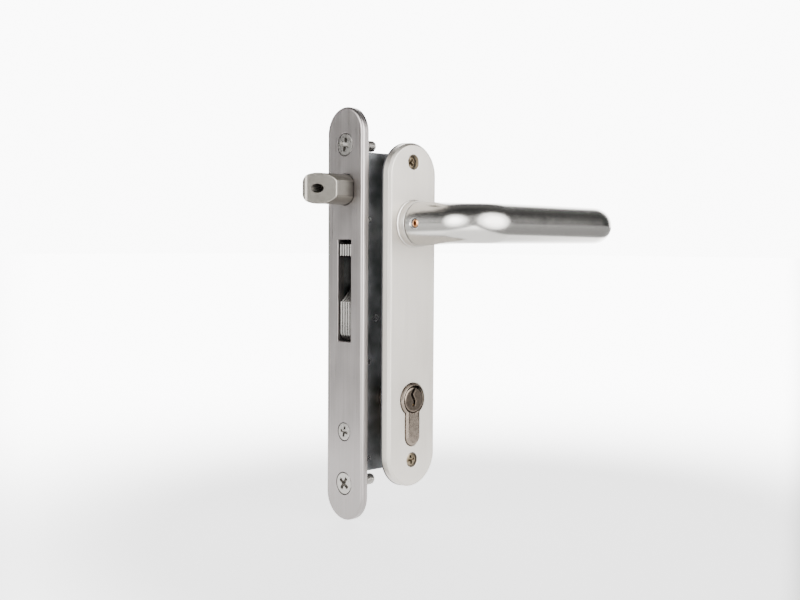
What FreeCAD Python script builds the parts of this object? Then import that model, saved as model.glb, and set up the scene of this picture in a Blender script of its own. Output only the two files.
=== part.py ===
"""Mortise gate lock with a lever, a slanted latch, a swing hook and a euro cylinder.

Frame, in millimetres: X runs into the gate from its edge, Y runs from the front
face of the gate to the rear, Z is up. The origin lies on the gate edge, in the
middle of the gate's thickness, level with the lever's axis.
"""
import FreeCAD
import Part
import math
import os

V = FreeCAD.Vector
X_AXIS = V(1, 0, 0)
Y_AXIS = V(0, 1, 0)
Z_AXIS = V(0, 0, 1)

os.makedirs("parts", exist_ok=True)

# Gate and lock centres
gate_thickness = 40.0
backset = 21.0
centre_distance = 92.0

# Faceplate: a base forend under a cover plate, both with round ends
face_length = 217.0
face_width = 28.0
forend_thickness = 2.0
cover_plate_thickness = 2.3
cover_plate_round = 1.4

# Fasteners
m6_radius = 3.0
m5_radius = 2.5
face_screw_head = 6.0
face_screw_length = 20.0
face_screw_neck = 0.5
face_screw_neck_length = 4.8
upper_screw_room = 1.0
lower_screw_room = 4.0
cylinder_screw_head = 4.9
cylinder_screw_drop = 17.5
screw_gap = 0.2
thread_gap = 0.05
recess_width = 1.1
recess_depth = 2.0

# Lock case: a folded tray and a flat cover
case_half_width = 9.0
case_wall = 1.4
case_rear_gap = 0.3
case_top_gap = 1.6
case_foot_gap = 1.6
bend_radius = 1.2
rivet_radius = 2.4
rivet_neck = 1.5
rivet_front_x = 5.0
rivet_rear_gap = 4.2
rivet_hook_gap = 7.0
rivet_end_gap = 6.4
rivet_upper_z = 2.0

# Lever plate on the front of the gate
plate_width = 34.0
plate_length = 180.0
plate_thickness = 5.0
plate_chamfer = 1.25
gasket_thickness = 0.6
gasket_margin = 0.2
plate_screw_head = 3.7
plate_screw_head_height = 2.2
plate_screw_sink_top = 2.6
plate_screw_sink_bottom = 0.8
bush_radius = 3.5
bush_flange_radius = 4.4
bush_flange = 1.0
bush_top_gap = 0.1
bush_foot_gap = 3.1
bush_length = 4.4

# Lever
collar_radius = 12.5
collar_height = 5.8
collar_rim = 0.5
collar_rim_height = 0.8
bearing_wall = 1.3
spigot_radius = 8.0
neck_radius = 11.8
grip_radius_near = 10.2
grip_radius_far = 9.8
grip_standoff = 44.5
inner_bend = 14.0
outer_bend = 16.0
grip_length = 90.0
return_clearance = 12.4
return_chamfer = 2.0
spindle_side = 8.0
spindle_gap = 0.05
spindle_in_lever = 28.0
set_screw_offset = 11.9
set_screw_sink = 1.0
set_screw_socket = 1.5
running_gap = 0.08
side_gap = 0.3

# Follower, the hub that the spindle turns
follower_hub = 8.0
follower_journal = 6.8
arm_length = 30.0
arm_half_thickness = 2.0
arm_root = 4.5
arm_neck = 1.0
arm_tip = 2.0
arm_rest_deg = -25.0
lever_travel_deg = 45.0
follower_wire = 0.4
follower_coils = 2
follower_spring_leg = 5.0

# Latch
latch_drop = 12.35
latch_radius = 8.0
latch_flat = 7.0
latch_nose_x = -27.0
latch_nose_flat = 2.8
latch_rear_x = 1.2
latch_gap = 0.25
latch_spigot = 4.5
latch_spigot_gap = 0.1
latch_spigot_length = 12.0
latch_bore = 2.35
latch_rear_slot = 4.0
fork_slot = 2.5
fork_side = 5.0
fork_front_x = 1.5
fork_root = 2.0
fork_rear_x = 11.0
fork_top_gap = 1.3
bridge_side = 3.4
bridge_wall = 1.4
tip_gap = 0.6
latch_spring_wall_gap = 0.05
latch_spring_wire = 0.25
latch_spring_coils = 9

# Swing hook, a pack of plates on a pivot pin
hook_x = 10.0
hook_top_z = -8.5
hook_reach = 41.0
hook_hub = 15.8
hook_front_x = -3.3
hook_tip_x = -3.8
hook_beak_drop = 6.1
hook_spine_inner = 8.0
hook_spine_outer = 20.0
hook_throat_foot = 8.5
hook_throat_slope_x = 5.4
hook_throat_slope = 16.5
hook_throat_round = 5.0
hook_foot_round = 2.4
hook_plate_count = 5
hook_pin = 3.0
hook_pin_neck = 2.0
hook_slot_gap = 0.1
hook_slot_foot_gap = 0.45
hook_travel_deg = 90.0
hook_rivet = 1.5

# Drive slide between the cylinder cam and the hook
slide_thickness = 1.1
slide_rear_room = 1.2
slide_hook_gap = 0.425
slide_cam_gap = 0.4
slide_wall_gap = 0.5
slide_strip_width = 5.3
slide_top = 19.5
slide_head_half = 5.6
slide_slot_play = 0.65
drive_pin = 2.0
guide_pin = 1.2
guide_head = 2.1
guide_gap = 0.3
guide_wall = 2.0
tab_thickness = 1.4
tab_reach = 9.3
tab_gap = 0.35
tab_overlap = 3.0

# Euro profile cylinder with plugs and cam
cylinder_half_length = 27.0
cylinder_head = 8.5
cylinder_web = 5.0
cylinder_height = 33.0
cylinder_chamfer = 1.0
cylinder_gap = 0.3
plug_radius = 6.6
plug_end_radius = 5.9
plug_chamfer = 0.3
cam_hub_step = 1.0
cam_hub = 7.9
cam_tip_centre = 12.5
cam_tip = 2.0
cam_rest_deg = -35.0
cam_travel_deg = 70.0
cam_slot_gap = 0.2
circlip_wall = 1.5
keyway_width = 1.7
keyway_top = 5.4
keyway_bottom = -3.6
keyway_wave = 1.0

# Tumbler pins in the chambers of the cylinder
chamber_radius = 1.35
chamber_cam_wall = 1.2
chamber_end_wall = 1.6
chamber_plug_length = 2.5
pin_gap = 0.05
pin_room = 0.2
driver_pin_length = 5.5
key_pin_lengths = (4.4, 5.0, 3.8, 4.7, 4.1)

# Places that follow from the sizes above
gate_front = -gate_thickness / 2
plate_back_y = gate_front - gasket_thickness
plate_front_y = plate_back_y - plate_thickness
face_front_x = -forend_thickness - cover_plate_thickness
cylinder_z = -centre_distance
cylinder_foot_z = cylinder_z + cylinder_head - cylinder_height
cylinder_screw_z = cylinder_z - cylinder_screw_drop
case_inner = case_half_width - case_wall
case_inner_x = backset + cam_tip_centre + cam_tip + case_rear_gap
case_depth = case_inner_x + case_wall
bridge_top_z = arm_length + arm_tip + tip_gap + bridge_wall
case_top = bridge_top_z + case_top_gap + case_wall
latch_z = arm_length - latch_drop
plate_screw_top_z = case_top - case_wall - bush_radius - bush_top_gap
plate_screw_bottom_z = cylinder_foot_z - bush_flange_radius - bush_foot_gap
case_bottom = plate_screw_bottom_z - bush_flange_radius - case_foot_gap
bush_end_y = bush_length - case_half_width - bush_flange
face_screw_heights = (
    case_top + m6_radius + upper_screw_room,
    case_bottom - m6_radius - lower_screw_room,
)
face_mid_z = sum(face_screw_heights) / 2
plate_mid_z = face_mid_z
hook_z = hook_top_z - hook_reach
hook_throat_foot_z = hook_z + hook_throat_foot
hook_throat_slope_z = hook_z + hook_throat_slope
slide_top_z = hook_z + slide_top
slide_y = case_inner - slide_rear_room - slide_thickness
hook_half = slide_y - slide_hook_gap
hook_plate_thickness = 2 * hook_half / hook_plate_count
cam_half_width = slide_y - slide_cam_gap
cam_hub_half_width = cam_half_width - cam_hub_step
cam_space = cam_half_width + cam_slot_gap
slide_right_x = case_inner_x - slide_wall_gap
slide_strip_x = slide_right_x - slide_strip_width
arm_rest = math.radians(arm_rest_deg)
arm_end = math.radians(arm_rest_deg + lever_travel_deg)
arm_tip_x = backset + arm_length * math.sin(arm_rest)
arm_tip_z = arm_length * math.cos(arm_rest)
latch_travel = arm_length * (math.sin(arm_end) - math.sin(arm_rest))
cam_rest = math.radians(cam_rest_deg)
cam_end = math.radians(cam_rest_deg + cam_travel_deg)
cam_tip_x = backset + cam_tip_centre * math.cos(cam_rest)
cam_tip_z = cylinder_z + cam_tip_centre * math.sin(cam_rest)
slide_travel = cam_tip_centre * (math.sin(cam_end) - math.sin(cam_rest))
hook_half_turn = math.radians(hook_travel_deg / 2)
drive_radius = slide_travel / (2 * math.sin(hook_half_turn))
drive_x = hook_x + drive_radius * math.cos(hook_half_turn)
drive_z = hook_z - drive_radius * math.sin(hook_half_turn)


def box(x0, x1, y0, y1, z0, z1):
    """A block between two corners."""
    return Part.makeBox(x1 - x0, y1 - y0, z1 - z0, V(x0, y0, z0))


def rod_x(radius, x0, x1, y, z):
    """A cylinder along X."""
    return Part.makeCylinder(radius, x1 - x0, V(x0, y, z), X_AXIS)


def rod_y(radius, y0, y1, x, z):
    """A cylinder along Y."""
    return Part.makeCylinder(radius, y1 - y0, V(x, y0, z), Y_AXIS)


def cone_y(radius0, radius1, y0, y1, x, z):
    """A cone along Y, from radius0 at y0 to radius1 at y1."""
    return Part.makeCone(radius0, radius1, y1 - y0, V(x, y0, z), Y_AXIS)


def prism_y(points, y0, y1):
    """A flat outline of (x, z) points, extruded along Y."""
    corners = [V(x, y0, z) for x, z in points]
    face = Part.Face(Part.makePolygon(corners + corners[:1]))
    return face.extrude(V(0, y1 - y0, 0))


def round_plate_x(width, length, x0, x1):
    """An upright plate facing X with full round ends, centred on the faceplate."""
    radius = width / 2
    straight = length / 2 - radius
    body = box(x0, x1, -radius, radius, face_mid_z - straight, face_mid_z + straight)
    for end in (-straight, straight):
        body = body.fuse(rod_x(radius, x0, x1, 0, face_mid_z + end))
    return body.removeSplitter()


def round_plate_y(width, length, y0, y1):
    """An upright plate facing Y with full round ends, centred on the lever plate."""
    radius = width / 2
    straight = length / 2 - radius
    left = backset - radius
    body = box(left, left + width, y0, y1, plate_mid_z - straight, plate_mid_z + straight)
    for end in (-straight, straight):
        body = body.fuse(rod_y(radius, y0, y1, backset, plate_mid_z + end))
    return body.removeSplitter()


def link_y(start, start_radius, end, end_radius, y0, y1):
    """Two discs joined by their common tangents, as (x, z) centres and radii."""
    along_x = end[0] - start[0]
    along_z = end[1] - start[1]
    distance = math.hypot(along_x, along_z)
    heading = math.atan2(along_z, along_x)
    lean = math.acos((start_radius - end_radius) / distance)
    corners = []
    for centre, radius, side in (
        (start, start_radius, lean),
        (end, end_radius, lean),
        (end, end_radius, -lean),
        (start, start_radius, -lean),
    ):
        angle = heading + side
        corners.append((centre[0] + radius * math.cos(angle), centre[1] + radius * math.sin(angle)))
    body = prism_y(corners, y0, y1)
    body = body.fuse(rod_y(start_radius, y0, y1, *start))
    body = body.fuse(rod_y(end_radius, y0, y1, *end))
    return body.removeSplitter()


def edges_at(shape, test):
    """The edges whose every vertex passes the test."""
    return [edge for edge in shape.Edges if all(test(vertex.Point) for vertex in edge.Vertexes)]


def near(value, target):
    """Whether two lengths are the same within a hair."""
    return abs(value - target) < 1e-4


def save(name, solids):
    """Write one piece, or a group of like pieces, to its own STEP file."""
    shape = solids if isinstance(solids, Part.Shape) else Part.makeCompound(solids)
    shape.exportStep(f"parts/{name}.step")


def cross_recess(length):
    """A cross shaped cutter along +Z from the origin, as wide as the driver."""
    half = recess_width / 2
    bar = box(-length / 2, length / 2, -half, half, 0, recess_depth)
    return bar.fuse(bar.rotated(V(0, 0, 0), Z_AXIS, 90))


def flat_head_screw(head_radius, shank_radius, length, neck=0.0, neck_length=0.0):
    """A countersunk screw along +Z, its head face at the origin, with a thinner neck."""
    head_height = head_radius - shank_radius
    screw = Part.makeCone(head_radius, shank_radius, head_height)
    screw = screw.fuse(Part.makeCylinder(shank_radius - neck, length))
    if neck:
        screw = screw.fuse(Part.makeCylinder(shank_radius, length - neck_length, V(0, 0, neck_length)))
    return screw.cut(cross_recess(head_radius)).removeSplitter()


def flat_head_hole(head_radius, shank_radius, length):
    """The cutter for a countersunk screw and its clearance hole, along +Z."""
    head_height = head_radius - shank_radius
    hole = Part.makeCone(head_radius + thread_gap, shank_radius + thread_gap, head_height)
    return hole.fuse(Part.makeCylinder(shank_radius + screw_gap, length))


def on_face(shape, z):
    """Turn a +Z shape to point into the faceplate along +X at height z."""
    turned = shape.rotated(V(0, 0, 0), Y_AXIS, 90)
    return turned.translated(V(face_front_x, 0, z))


def euro_outline(grow, y0, y1):
    """The keyhole outline of the cylinder, grown by a clearance."""
    head = rod_y(cylinder_head + grow, y0, y1, backset, cylinder_z)
    foot_centre_z = cylinder_foot_z + cylinder_web
    half = cylinder_web + grow
    web = box(backset - half, backset + half, y0, y1, foot_centre_z, cylinder_z)
    foot = rod_y(half, y0, y1, backset, foot_centre_z)
    return head.fuse(web).fuse(foot).removeSplitter()


def tangent_arc(start, corner, end):
    """The arc from start to end whose end tangents meet at the corner."""
    middle = (start + end) * 0.5
    half_chord = (end - start).Length / 2
    height = (corner - middle).Length
    bulge = half_chord * math.tan(math.atan2(height, half_chord) / 2)
    return Part.Arc(start, middle + (corner - middle) * (bulge / height), end).toShape()


def biarc(start, start_way, end, end_way):
    """Two tangent arcs between two points with given unit directions."""
    chord = end - start
    ways = start_way + end_way
    spread = 2 * (1 - start_way.dot(end_way))
    reach = (math.sqrt(chord.dot(ways) ** 2 + spread * chord.dot(chord)) - chord.dot(ways)) / spread
    first = start + start_way * reach
    second = end - end_way * reach
    joint = (first + second) * 0.5
    return [tangent_arc(start, first, joint), tangent_arc(joint, second, end)]


def coil(radius, wire, length, coils, leg=0.0):
    """A coil spring along +Z, its tube swept along biarcs, with straight legs."""
    turns = 2 * math.pi * coils
    rise = (length - 2 * wire) / turns
    knots = []
    for quarter in range(4 * coils + 1):
        angle = quarter * math.pi / 2
        place = V(radius * math.cos(angle), radius * math.sin(angle), wire + rise * angle)
        way = V(-radius * math.sin(angle), radius * math.cos(angle), rise).normalize()
        knots.append((place, way))
    arcs = []
    for knot, following in zip(knots, knots[1:]):
        arcs.extend(biarc(*knot, *following))
    start, way = knots[0]
    end, end_way = knots[-1]
    if leg:
        arcs.insert(0, Part.makeLine(start - way * leg, start))
        arcs.append(Part.makeLine(end, end + end_way * leg))
    ring = Part.Wire(Part.makeCircle(wire, start - way * leg, way))
    return Part.Wire(arcs).makePipeShell([ring], True, False)


# Faceplate

latch_hole_radius = latch_radius + latch_gap
latch_hole_flat = latch_flat + latch_gap


def latch_outline(radius, flat, x0, x1):
    """A round bar along X with two flats, on the latch axis."""
    bar = rod_x(radius, x0, x1, 0, latch_z)
    return bar.common(box(x0, x1, -flat, flat, latch_z - radius, latch_z + radius))


def face_holes():
    """Everything that passes through both plates of the faceplate."""
    holes = latch_outline(latch_hole_radius, latch_hole_flat, face_front_x, 0)
    side = hook_half + side_gap
    slot_top = hook_top_z + hook_slot_gap
    slot_foot = hook_z - math.sqrt(hook_hub**2 - hook_x**2) - hook_slot_foot_gap
    holes = holes.fuse(box(face_front_x, 0, -side, side, slot_foot, slot_top))
    for z in face_screw_heights:
        holes = holes.fuse(on_face(flat_head_hole(face_screw_head, m6_radius, face_screw_length), z))
    cylinder_hole = flat_head_hole(cylinder_screw_head, m5_radius, face_screw_length)
    return holes.fuse(on_face(cylinder_hole, cylinder_screw_z))


def faceplate():
    """The stainless cover plate with its rounded front edge."""
    plate = round_plate_x(face_width, face_length, face_front_x, -forend_thickness)
    rim = edges_at(plate, lambda p: near(p.x, face_front_x))
    return plate.makeFillet(cover_plate_round, rim).cut(face_holes())


def forend_base():
    """The base forend that the lock case is fixed to."""
    return round_plate_x(face_width, face_length, -forend_thickness, 0).cut(face_holes())


def faceplate_screws():
    """The two large countersunk screws that hold the lock in the gate edge."""
    screw = flat_head_screw(
        face_screw_head, m6_radius, face_screw_length, face_screw_neck, face_screw_neck_length
    )
    return [on_face(screw, z) for z in face_screw_heights]


def cylinder_screw():
    """The long screw through the faceplate into the cylinder."""
    length = backset + cylinder_web - face_front_x
    return on_face(flat_head_screw(cylinder_screw_head, m5_radius - thread_gap, length), cylinder_screw_z)


save("faceplate", faceplate())
save("forend_base", forend_base())
save("faceplate_screws", faceplate_screws())
save("cylinder_screw", cylinder_screw())


# Lock case

rivet_places = (
    (rivet_front_x, rivet_upper_z),
    (case_depth - rivet_rear_gap, rivet_upper_z),
    (rivet_front_x, hook_z - hook_hub - rivet_hook_gap),
    (rivet_front_x, case_bottom + rivet_end_gap),
    (case_depth - rivet_rear_gap, case_bottom + rivet_end_gap),
)
guide_x = (slide_strip_x + slide_right_x) / 2
guide_places = (
    (guide_x, slide_top_z - guide_pin - guide_wall),
    (guide_x, drive_z - slide_head_half - guide_pin - guide_wall),
)
plate_screw_heights = (plate_screw_top_z, plate_screw_bottom_z)


def wall_holes(y0, y1):
    """The holes that the tray and the cover share."""
    holes = euro_outline(cylinder_gap, y0, y1)
    holes = holes.fuse(rod_y(follower_journal + running_gap, y0, y1, backset, 0))
    holes = holes.fuse(rod_y(hook_pin_neck, y0, y1, hook_x, hook_z))
    for x, z in rivet_places:
        holes = holes.fuse(rod_y(rivet_neck, y0, y1, x, z))
    return holes


def case_tray():
    """The folded tray: rear wall and three rims, open to the faceplate."""
    outer = box(0, case_depth, -case_inner, case_half_width, case_bottom, case_top)
    bends = edges_at(outer, lambda p: near(p.y, case_half_width))
    bends = [edge for edge in bends if max(v.X for v in edge.Vertexes) > case_wall]
    outer = outer.makeFillet(bend_radius, bends)
    inner = box(0, case_inner_x, -case_inner, case_inner, case_bottom + case_wall, case_top - case_wall)
    tray = outer.cut(inner).cut(wall_holes(case_inner, case_half_width))
    for x, z in guide_places:
        tray = tray.cut(rod_y(guide_pin, case_inner, case_half_width, x, z))
    return tray


def case_cover():
    """The flat cover with the threaded bushes' holes."""
    cover = box(0, case_depth, -case_half_width, -case_inner, case_bottom, case_top)
    cover = cover.cut(wall_holes(-case_half_width, -case_inner))
    for z in plate_screw_heights:
        cover = cover.cut(rod_y(bush_radius, -case_half_width, -case_inner, backset, z))
    return cover


def stepped_pin(radius, neck, x, z):
    """A pin between the case walls with a thinner end set flush in each wall."""
    return rod_y(radius, -case_inner, case_inner, x, z).fuse(
        rod_y(neck, -case_half_width, case_half_width, x, z)
    )


def case_rivets():
    """The distance rivets that hold tray and cover together."""
    return [stepped_pin(rivet_radius, rivet_neck, x, z) for x, z in rivet_places]


def plate_screw_bushes():
    """Threaded bushes in the cover for the lever plate's screws."""
    bushes = []
    for z in plate_screw_heights:
        flange_y = -case_half_width - bush_flange
        bush = rod_y(bush_radius, flange_y, bush_end_y, backset, z)
        bush = bush.fuse(rod_y(bush_flange_radius, flange_y, -case_half_width, backset, z))
        bushes.append(bush.cut(rod_y(m5_radius, flange_y, bush_end_y, backset, z)))
    return bushes


save("case_tray", case_tray())
save("case_cover", case_cover())
save("case_rivets", case_rivets())
save("plate_screw_bushes", plate_screw_bushes())
save("hook_pivot_pin", stepped_pin(hook_pin, hook_pin_neck, hook_x, hook_z))


# Lever plate

collar_front_y = plate_front_y - collar_height
bearing_radius = spigot_radius + running_gap + bearing_wall


def lever_plate():
    """The aluminium plate under the lever."""
    plate = round_plate_y(plate_width, plate_length, plate_front_y, plate_back_y)
    rim = edges_at(plate, lambda p: near(p.y, plate_front_y))
    plate = plate.makeChamfer(plate_chamfer, rim)
    plate = plate.cut(euro_outline(cylinder_gap, plate_front_y, plate_back_y))
    plate = plate.cut(rod_y(bearing_radius, plate_front_y, plate_back_y, backset, 0))
    for z, sink in zip(plate_screw_heights, (plate_screw_sink_top, plate_screw_sink_bottom)):
        seat_y = plate_front_y + sink + plate_screw_head_height
        plate = plate.cut(rod_y(plate_screw_head + screw_gap, plate_front_y, seat_y, backset, z))
        plate = plate.cut(rod_y(m5_radius + screw_gap, plate_front_y, plate_back_y, backset, z))
    return plate


def plate_gasket():
    """The thin dark gasket between plate and gate."""
    margin = 2 * gasket_margin
    gasket = round_plate_y(plate_width + margin, plate_length + margin, plate_back_y, gate_front)
    gasket = gasket.cut(euro_outline(cylinder_gap, plate_back_y, gate_front))
    gasket = gasket.cut(rod_y(bearing_radius, plate_back_y, gate_front, backset, 0))
    for z in plate_screw_heights:
        gasket = gasket.cut(rod_y(m5_radius + screw_gap, plate_back_y, gate_front, backset, z))
    return gasket


def plate_screws():
    """The two sunk head screws that pull the plate to the lock case."""
    screws = []
    for z, sink in zip(plate_screw_heights, (plate_screw_sink_top, plate_screw_sink_bottom)):
        head_y = plate_front_y + sink
        screw = rod_y(plate_screw_head, head_y, head_y + plate_screw_head_height, backset, z)
        screw = screw.fuse(rod_y(m5_radius - thread_gap, head_y, bush_end_y, backset, z))
        recess = cross_recess(1.3 * plate_screw_head).rotated(V(0, 0, 0), X_AXIS, -90)
        screws.append(screw.cut(recess.translated(V(backset, head_y, z))))
    return screws


def handle_collar():
    """The ring on the plate that the lever's neck turns against."""
    ring = rod_y(collar_radius, collar_front_y, plate_front_y, backset, 0)
    rim_y = plate_front_y - collar_rim_height
    ring = ring.fuse(rod_y(collar_radius + collar_rim, rim_y, plate_front_y, backset, 0))
    return ring.cut(rod_y(bearing_radius, collar_front_y, plate_front_y, backset, 0))


def handle_bearing():
    """The plastic bush inside the collar."""
    bush = rod_y(bearing_radius, collar_front_y, gate_front, backset, 0)
    return bush.cut(rod_y(spigot_radius + running_gap, collar_front_y, gate_front, backset, 0))


save("lever_plate", lever_plate())
save("plate_gasket", plate_gasket())
save("plate_screws", plate_screws())
save("handle_collar", handle_collar())
save("handle_bearing", handle_bearing())


# Lever handle

neck_front_y = collar_front_y - side_gap
grip_y = plate_front_y - grip_standoff
spindle_front_y = neck_front_y - spindle_in_lever
set_screw_y = plate_front_y - set_screw_offset
half_side = spindle_side / 2


def square_bar(half, y0, y1):
    """A square bar on the lever's axis."""
    return box(backset - half, backset + half, y0, y1, -half, half)


def bend(radius, tube, centre_x, centre_y, start_deg):
    """A quarter torus in the level plane, swept from start_deg round to +90."""
    start = math.radians(start_deg)
    middle = V(centre_x + radius * math.cos(start), centre_y + radius * math.sin(start), 0)
    normal = V(-math.sin(start), math.cos(start), 0)
    disc = Part.Face(Part.Wire(Part.makeCircle(tube, middle, normal)))
    return disc.revolve(V(centre_x, centre_y, 0), Z_AXIS, 90)


def lever_handle():
    """Neck, tight bend, straight grip and the end turned back to the gate."""
    bend_start_y = grip_y + inner_bend
    grip_start_x = backset + inner_bend
    grip_end_x = backset + grip_length
    return_x = grip_end_x + outer_bend
    return_start_y = grip_y + outer_bend
    return_end_y = plate_front_y - return_clearance
    neck = cone_y(grip_radius_near, neck_radius, bend_start_y, neck_front_y, backset, 0)
    body = neck.fuse(bend(inner_bend, grip_radius_near, grip_start_x, bend_start_y, 180))
    grip_base = V(grip_start_x, grip_y, 0)
    straight = Part.makeCone(grip_radius_near, grip_radius_far, grip_end_x - grip_start_x, grip_base, X_AXIS)
    body = body.fuse(straight)
    body = body.fuse(bend(outer_bend, grip_radius_far, grip_end_x, return_start_y, -90))
    stub_y = return_end_y - return_chamfer
    body = body.fuse(rod_y(grip_radius_far, return_start_y, stub_y, return_x, 0))
    tip_radius = grip_radius_far - return_chamfer
    body = body.fuse(cone_y(grip_radius_far, tip_radius, stub_y, return_end_y, return_x, 0))
    spigot_end_y = plate_back_y
    body = body.fuse(rod_y(spigot_radius, neck_front_y, spigot_end_y, backset, 0))
    socket = half_side + spindle_gap
    body = body.cut(square_bar(socket, spindle_front_y, spigot_end_y))
    tapped_hole = rod_x(m6_radius + thread_gap, backset - neck_radius, backset - half_side, set_screw_y, 0)
    return body.cut(tapped_hole).removeSplitter()


def handle_set_screw():
    """The socket set screw in the neck that grips the spindle."""
    outer_x = backset - neck_radius + set_screw_sink
    outer_x += (neck_radius - grip_radius_near) * set_screw_offset / grip_standoff
    screw = Part.makeCylinder(m6_radius, backset - half_side - outer_x, V(outer_x, set_screw_y, 0), X_AXIS)
    corners = [
        V(
            outer_x,
            set_screw_y + set_screw_socket * math.cos(math.radians(60 * turn)),
            set_screw_socket * math.sin(math.radians(60 * turn)),
        )
        for turn in range(7)
    ]
    socket = Part.Face(Part.makePolygon(corners)).extrude(V(recess_depth, 0, 0))
    return screw.cut(socket)


def square_spindle():
    """The square spindle from the lever through the follower."""
    return square_bar(half_side, spindle_front_y, case_half_width)


def follower():
    """The hub with its arm up to the latch carrier."""
    tip = (arm_tip_x, arm_tip_z)
    side = arm_half_thickness
    hub = rod_y(follower_hub, -case_inner + side_gap, case_inner - side_gap, backset, 0)
    body = hub.fuse(rod_y(follower_journal, -case_half_width, case_half_width, backset, 0))
    body = body.fuse(link_y((backset, 0), arm_root, tip, arm_neck, -side, side))
    body = body.fuse(rod_y(arm_tip, -side, side, *tip))
    return body.cut(square_bar(half_side + spindle_gap, -case_half_width, case_half_width)).removeSplitter()


def follower_spring():
    """The coil round the hub that brings the lever back level."""
    start_y = arm_half_thickness + side_gap
    length = case_inner - side_gap - start_y
    radius = follower_hub + side_gap + follower_wire
    spring = coil(radius, follower_wire, length, follower_coils, follower_spring_leg)
    return spring.rotated(V(0, 0, 0), X_AXIS, -90).translated(V(backset, start_y, 0))


save("lever_handle", lever_handle())
save("handle_set_screw", handle_set_screw())
save("square_spindle", square_spindle())
save("follower", follower())
save("follower_spring", follower_spring())


# Latch

bridge_foot_z = arm_tip_z - arm_neck
notch_half = arm_tip + tip_gap
bridge_front_x = arm_tip_x - notch_half - bridge_wall
bridge_rear_x = arm_tip_x + notch_half + bridge_wall
spring_lug = 2.0
latch_spring_radius = (case_inner - bridge_side - latch_gap - latch_spring_wall_gap) / 2 - latch_spring_wire
spring_y = bridge_side + latch_gap + latch_spring_radius + latch_spring_wire
spring_z = (bridge_foot_z + bridge_top_z) / 2


def latch_head():
    """The slanted latch: a round bar with two flats and a bevel to the front."""
    head = latch_outline(latch_radius, latch_flat, latch_nose_x, latch_rear_x)
    low = latch_z - latch_radius
    bevel_end_x = latch_nose_x + 2 * latch_flat - latch_nose_flat
    wedge = Part.Face(
        Part.makePolygon(
            [
                V(latch_nose_x, -latch_flat, low),
                V(bevel_end_x, -latch_flat, low),
                V(latch_nose_x, latch_flat - latch_nose_flat, low),
                V(latch_nose_x, -latch_flat, low),
            ]
        )
    ).extrude(V(0, 0, 2 * latch_radius))
    head = head.cut(wedge)
    bore_start_x = latch_rear_x - latch_spigot_length - latch_gap
    head = head.cut(rod_x(latch_spigot + latch_spigot_gap, bore_start_x, latch_rear_x, 0, latch_z))
    head = head.cut(rod_x(latch_bore, latch_nose_x, bore_start_x, 0, latch_z))
    slot_x = latch_rear_x - latch_rear_slot
    rear_slot = box(slot_x, latch_rear_x, -fork_slot, fork_slot, low, low + 2 * latch_radius)
    return head.cut(rear_slot)


def latch_adjusting_screw():
    """The screw on the latch axis that sets how far the head stands out."""
    front_x = latch_nose_x + latch_flat + 2 * latch_bore
    rear_x = latch_rear_x - latch_spigot_length - latch_gap
    screw = rod_x(latch_bore - thread_gap, front_x, rear_x, 0, latch_z)
    return screw.cut(rod_x(set_screw_socket / 2, front_x, front_x + recess_depth, 0, latch_z))


def latch_carrier():
    """The fork behind the latch head that the follower's arm pulls back."""
    spigot_x = latch_rear_x - latch_spigot_length
    body = rod_x(latch_spigot, spigot_x, fork_front_x, 0, latch_z)
    fork_low = latch_z - latch_spigot
    fork_top = bridge_foot_z + fork_top_gap
    body = body.fuse(box(fork_front_x, fork_rear_x, -fork_side, fork_side, fork_low, fork_top))
    bridge = box(bridge_front_x, bridge_rear_x, -bridge_side, bridge_side, bridge_foot_z, bridge_top_z)
    cheek = box(bridge_front_x, bridge_rear_x, -fork_side, -fork_slot, bridge_foot_z, bridge_top_z)
    body = body.fuse(bridge).fuse(cheek)
    slot_x = fork_front_x - fork_root
    body = body.cut(box(slot_x, fork_rear_x, -fork_slot, fork_slot, fork_low, bridge_foot_z))
    notch = box(
        arm_tip_x - notch_half,
        arm_tip_x + notch_half,
        -fork_slot,
        fork_slot,
        bridge_foot_z,
        bridge_top_z - bridge_wall,
    )
    body = body.cut(notch)
    lug_side = case_inner - side_gap
    lug_x = bridge_front_x + spring_lug
    lug_foot_z = spring_z - latch_spring_radius - latch_spring_wire
    lug = box(bridge_front_x, lug_x, bridge_side, lug_side, lug_foot_z, bridge_top_z)
    return body.fuse(lug).removeSplitter()


def latch_spring():
    """The coil that pushes the latch out, from the carrier's lug to the case."""
    start_x = bridge_front_x + spring_lug
    spring = coil(latch_spring_radius, latch_spring_wire, case_inner_x - start_x, latch_spring_coils)
    return spring.rotated(V(0, 0, 0), Y_AXIS, 90).translated(V(start_x, spring_y, spring_z))


save("latch_head", latch_head())
save("latch_adjusting_screw", latch_adjusting_screw())
save("latch_carrier", latch_carrier())
save("latch_spring", latch_spring())


# Swing hook

rivet_spots = (
    (hook_spine_outer - 2.5 * hook_rivet, hook_z + hook_reach / 2),
    (hook_spine_inner + 2.5 * hook_rivet, hook_top_z - hook_beak_drop),
)


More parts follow.
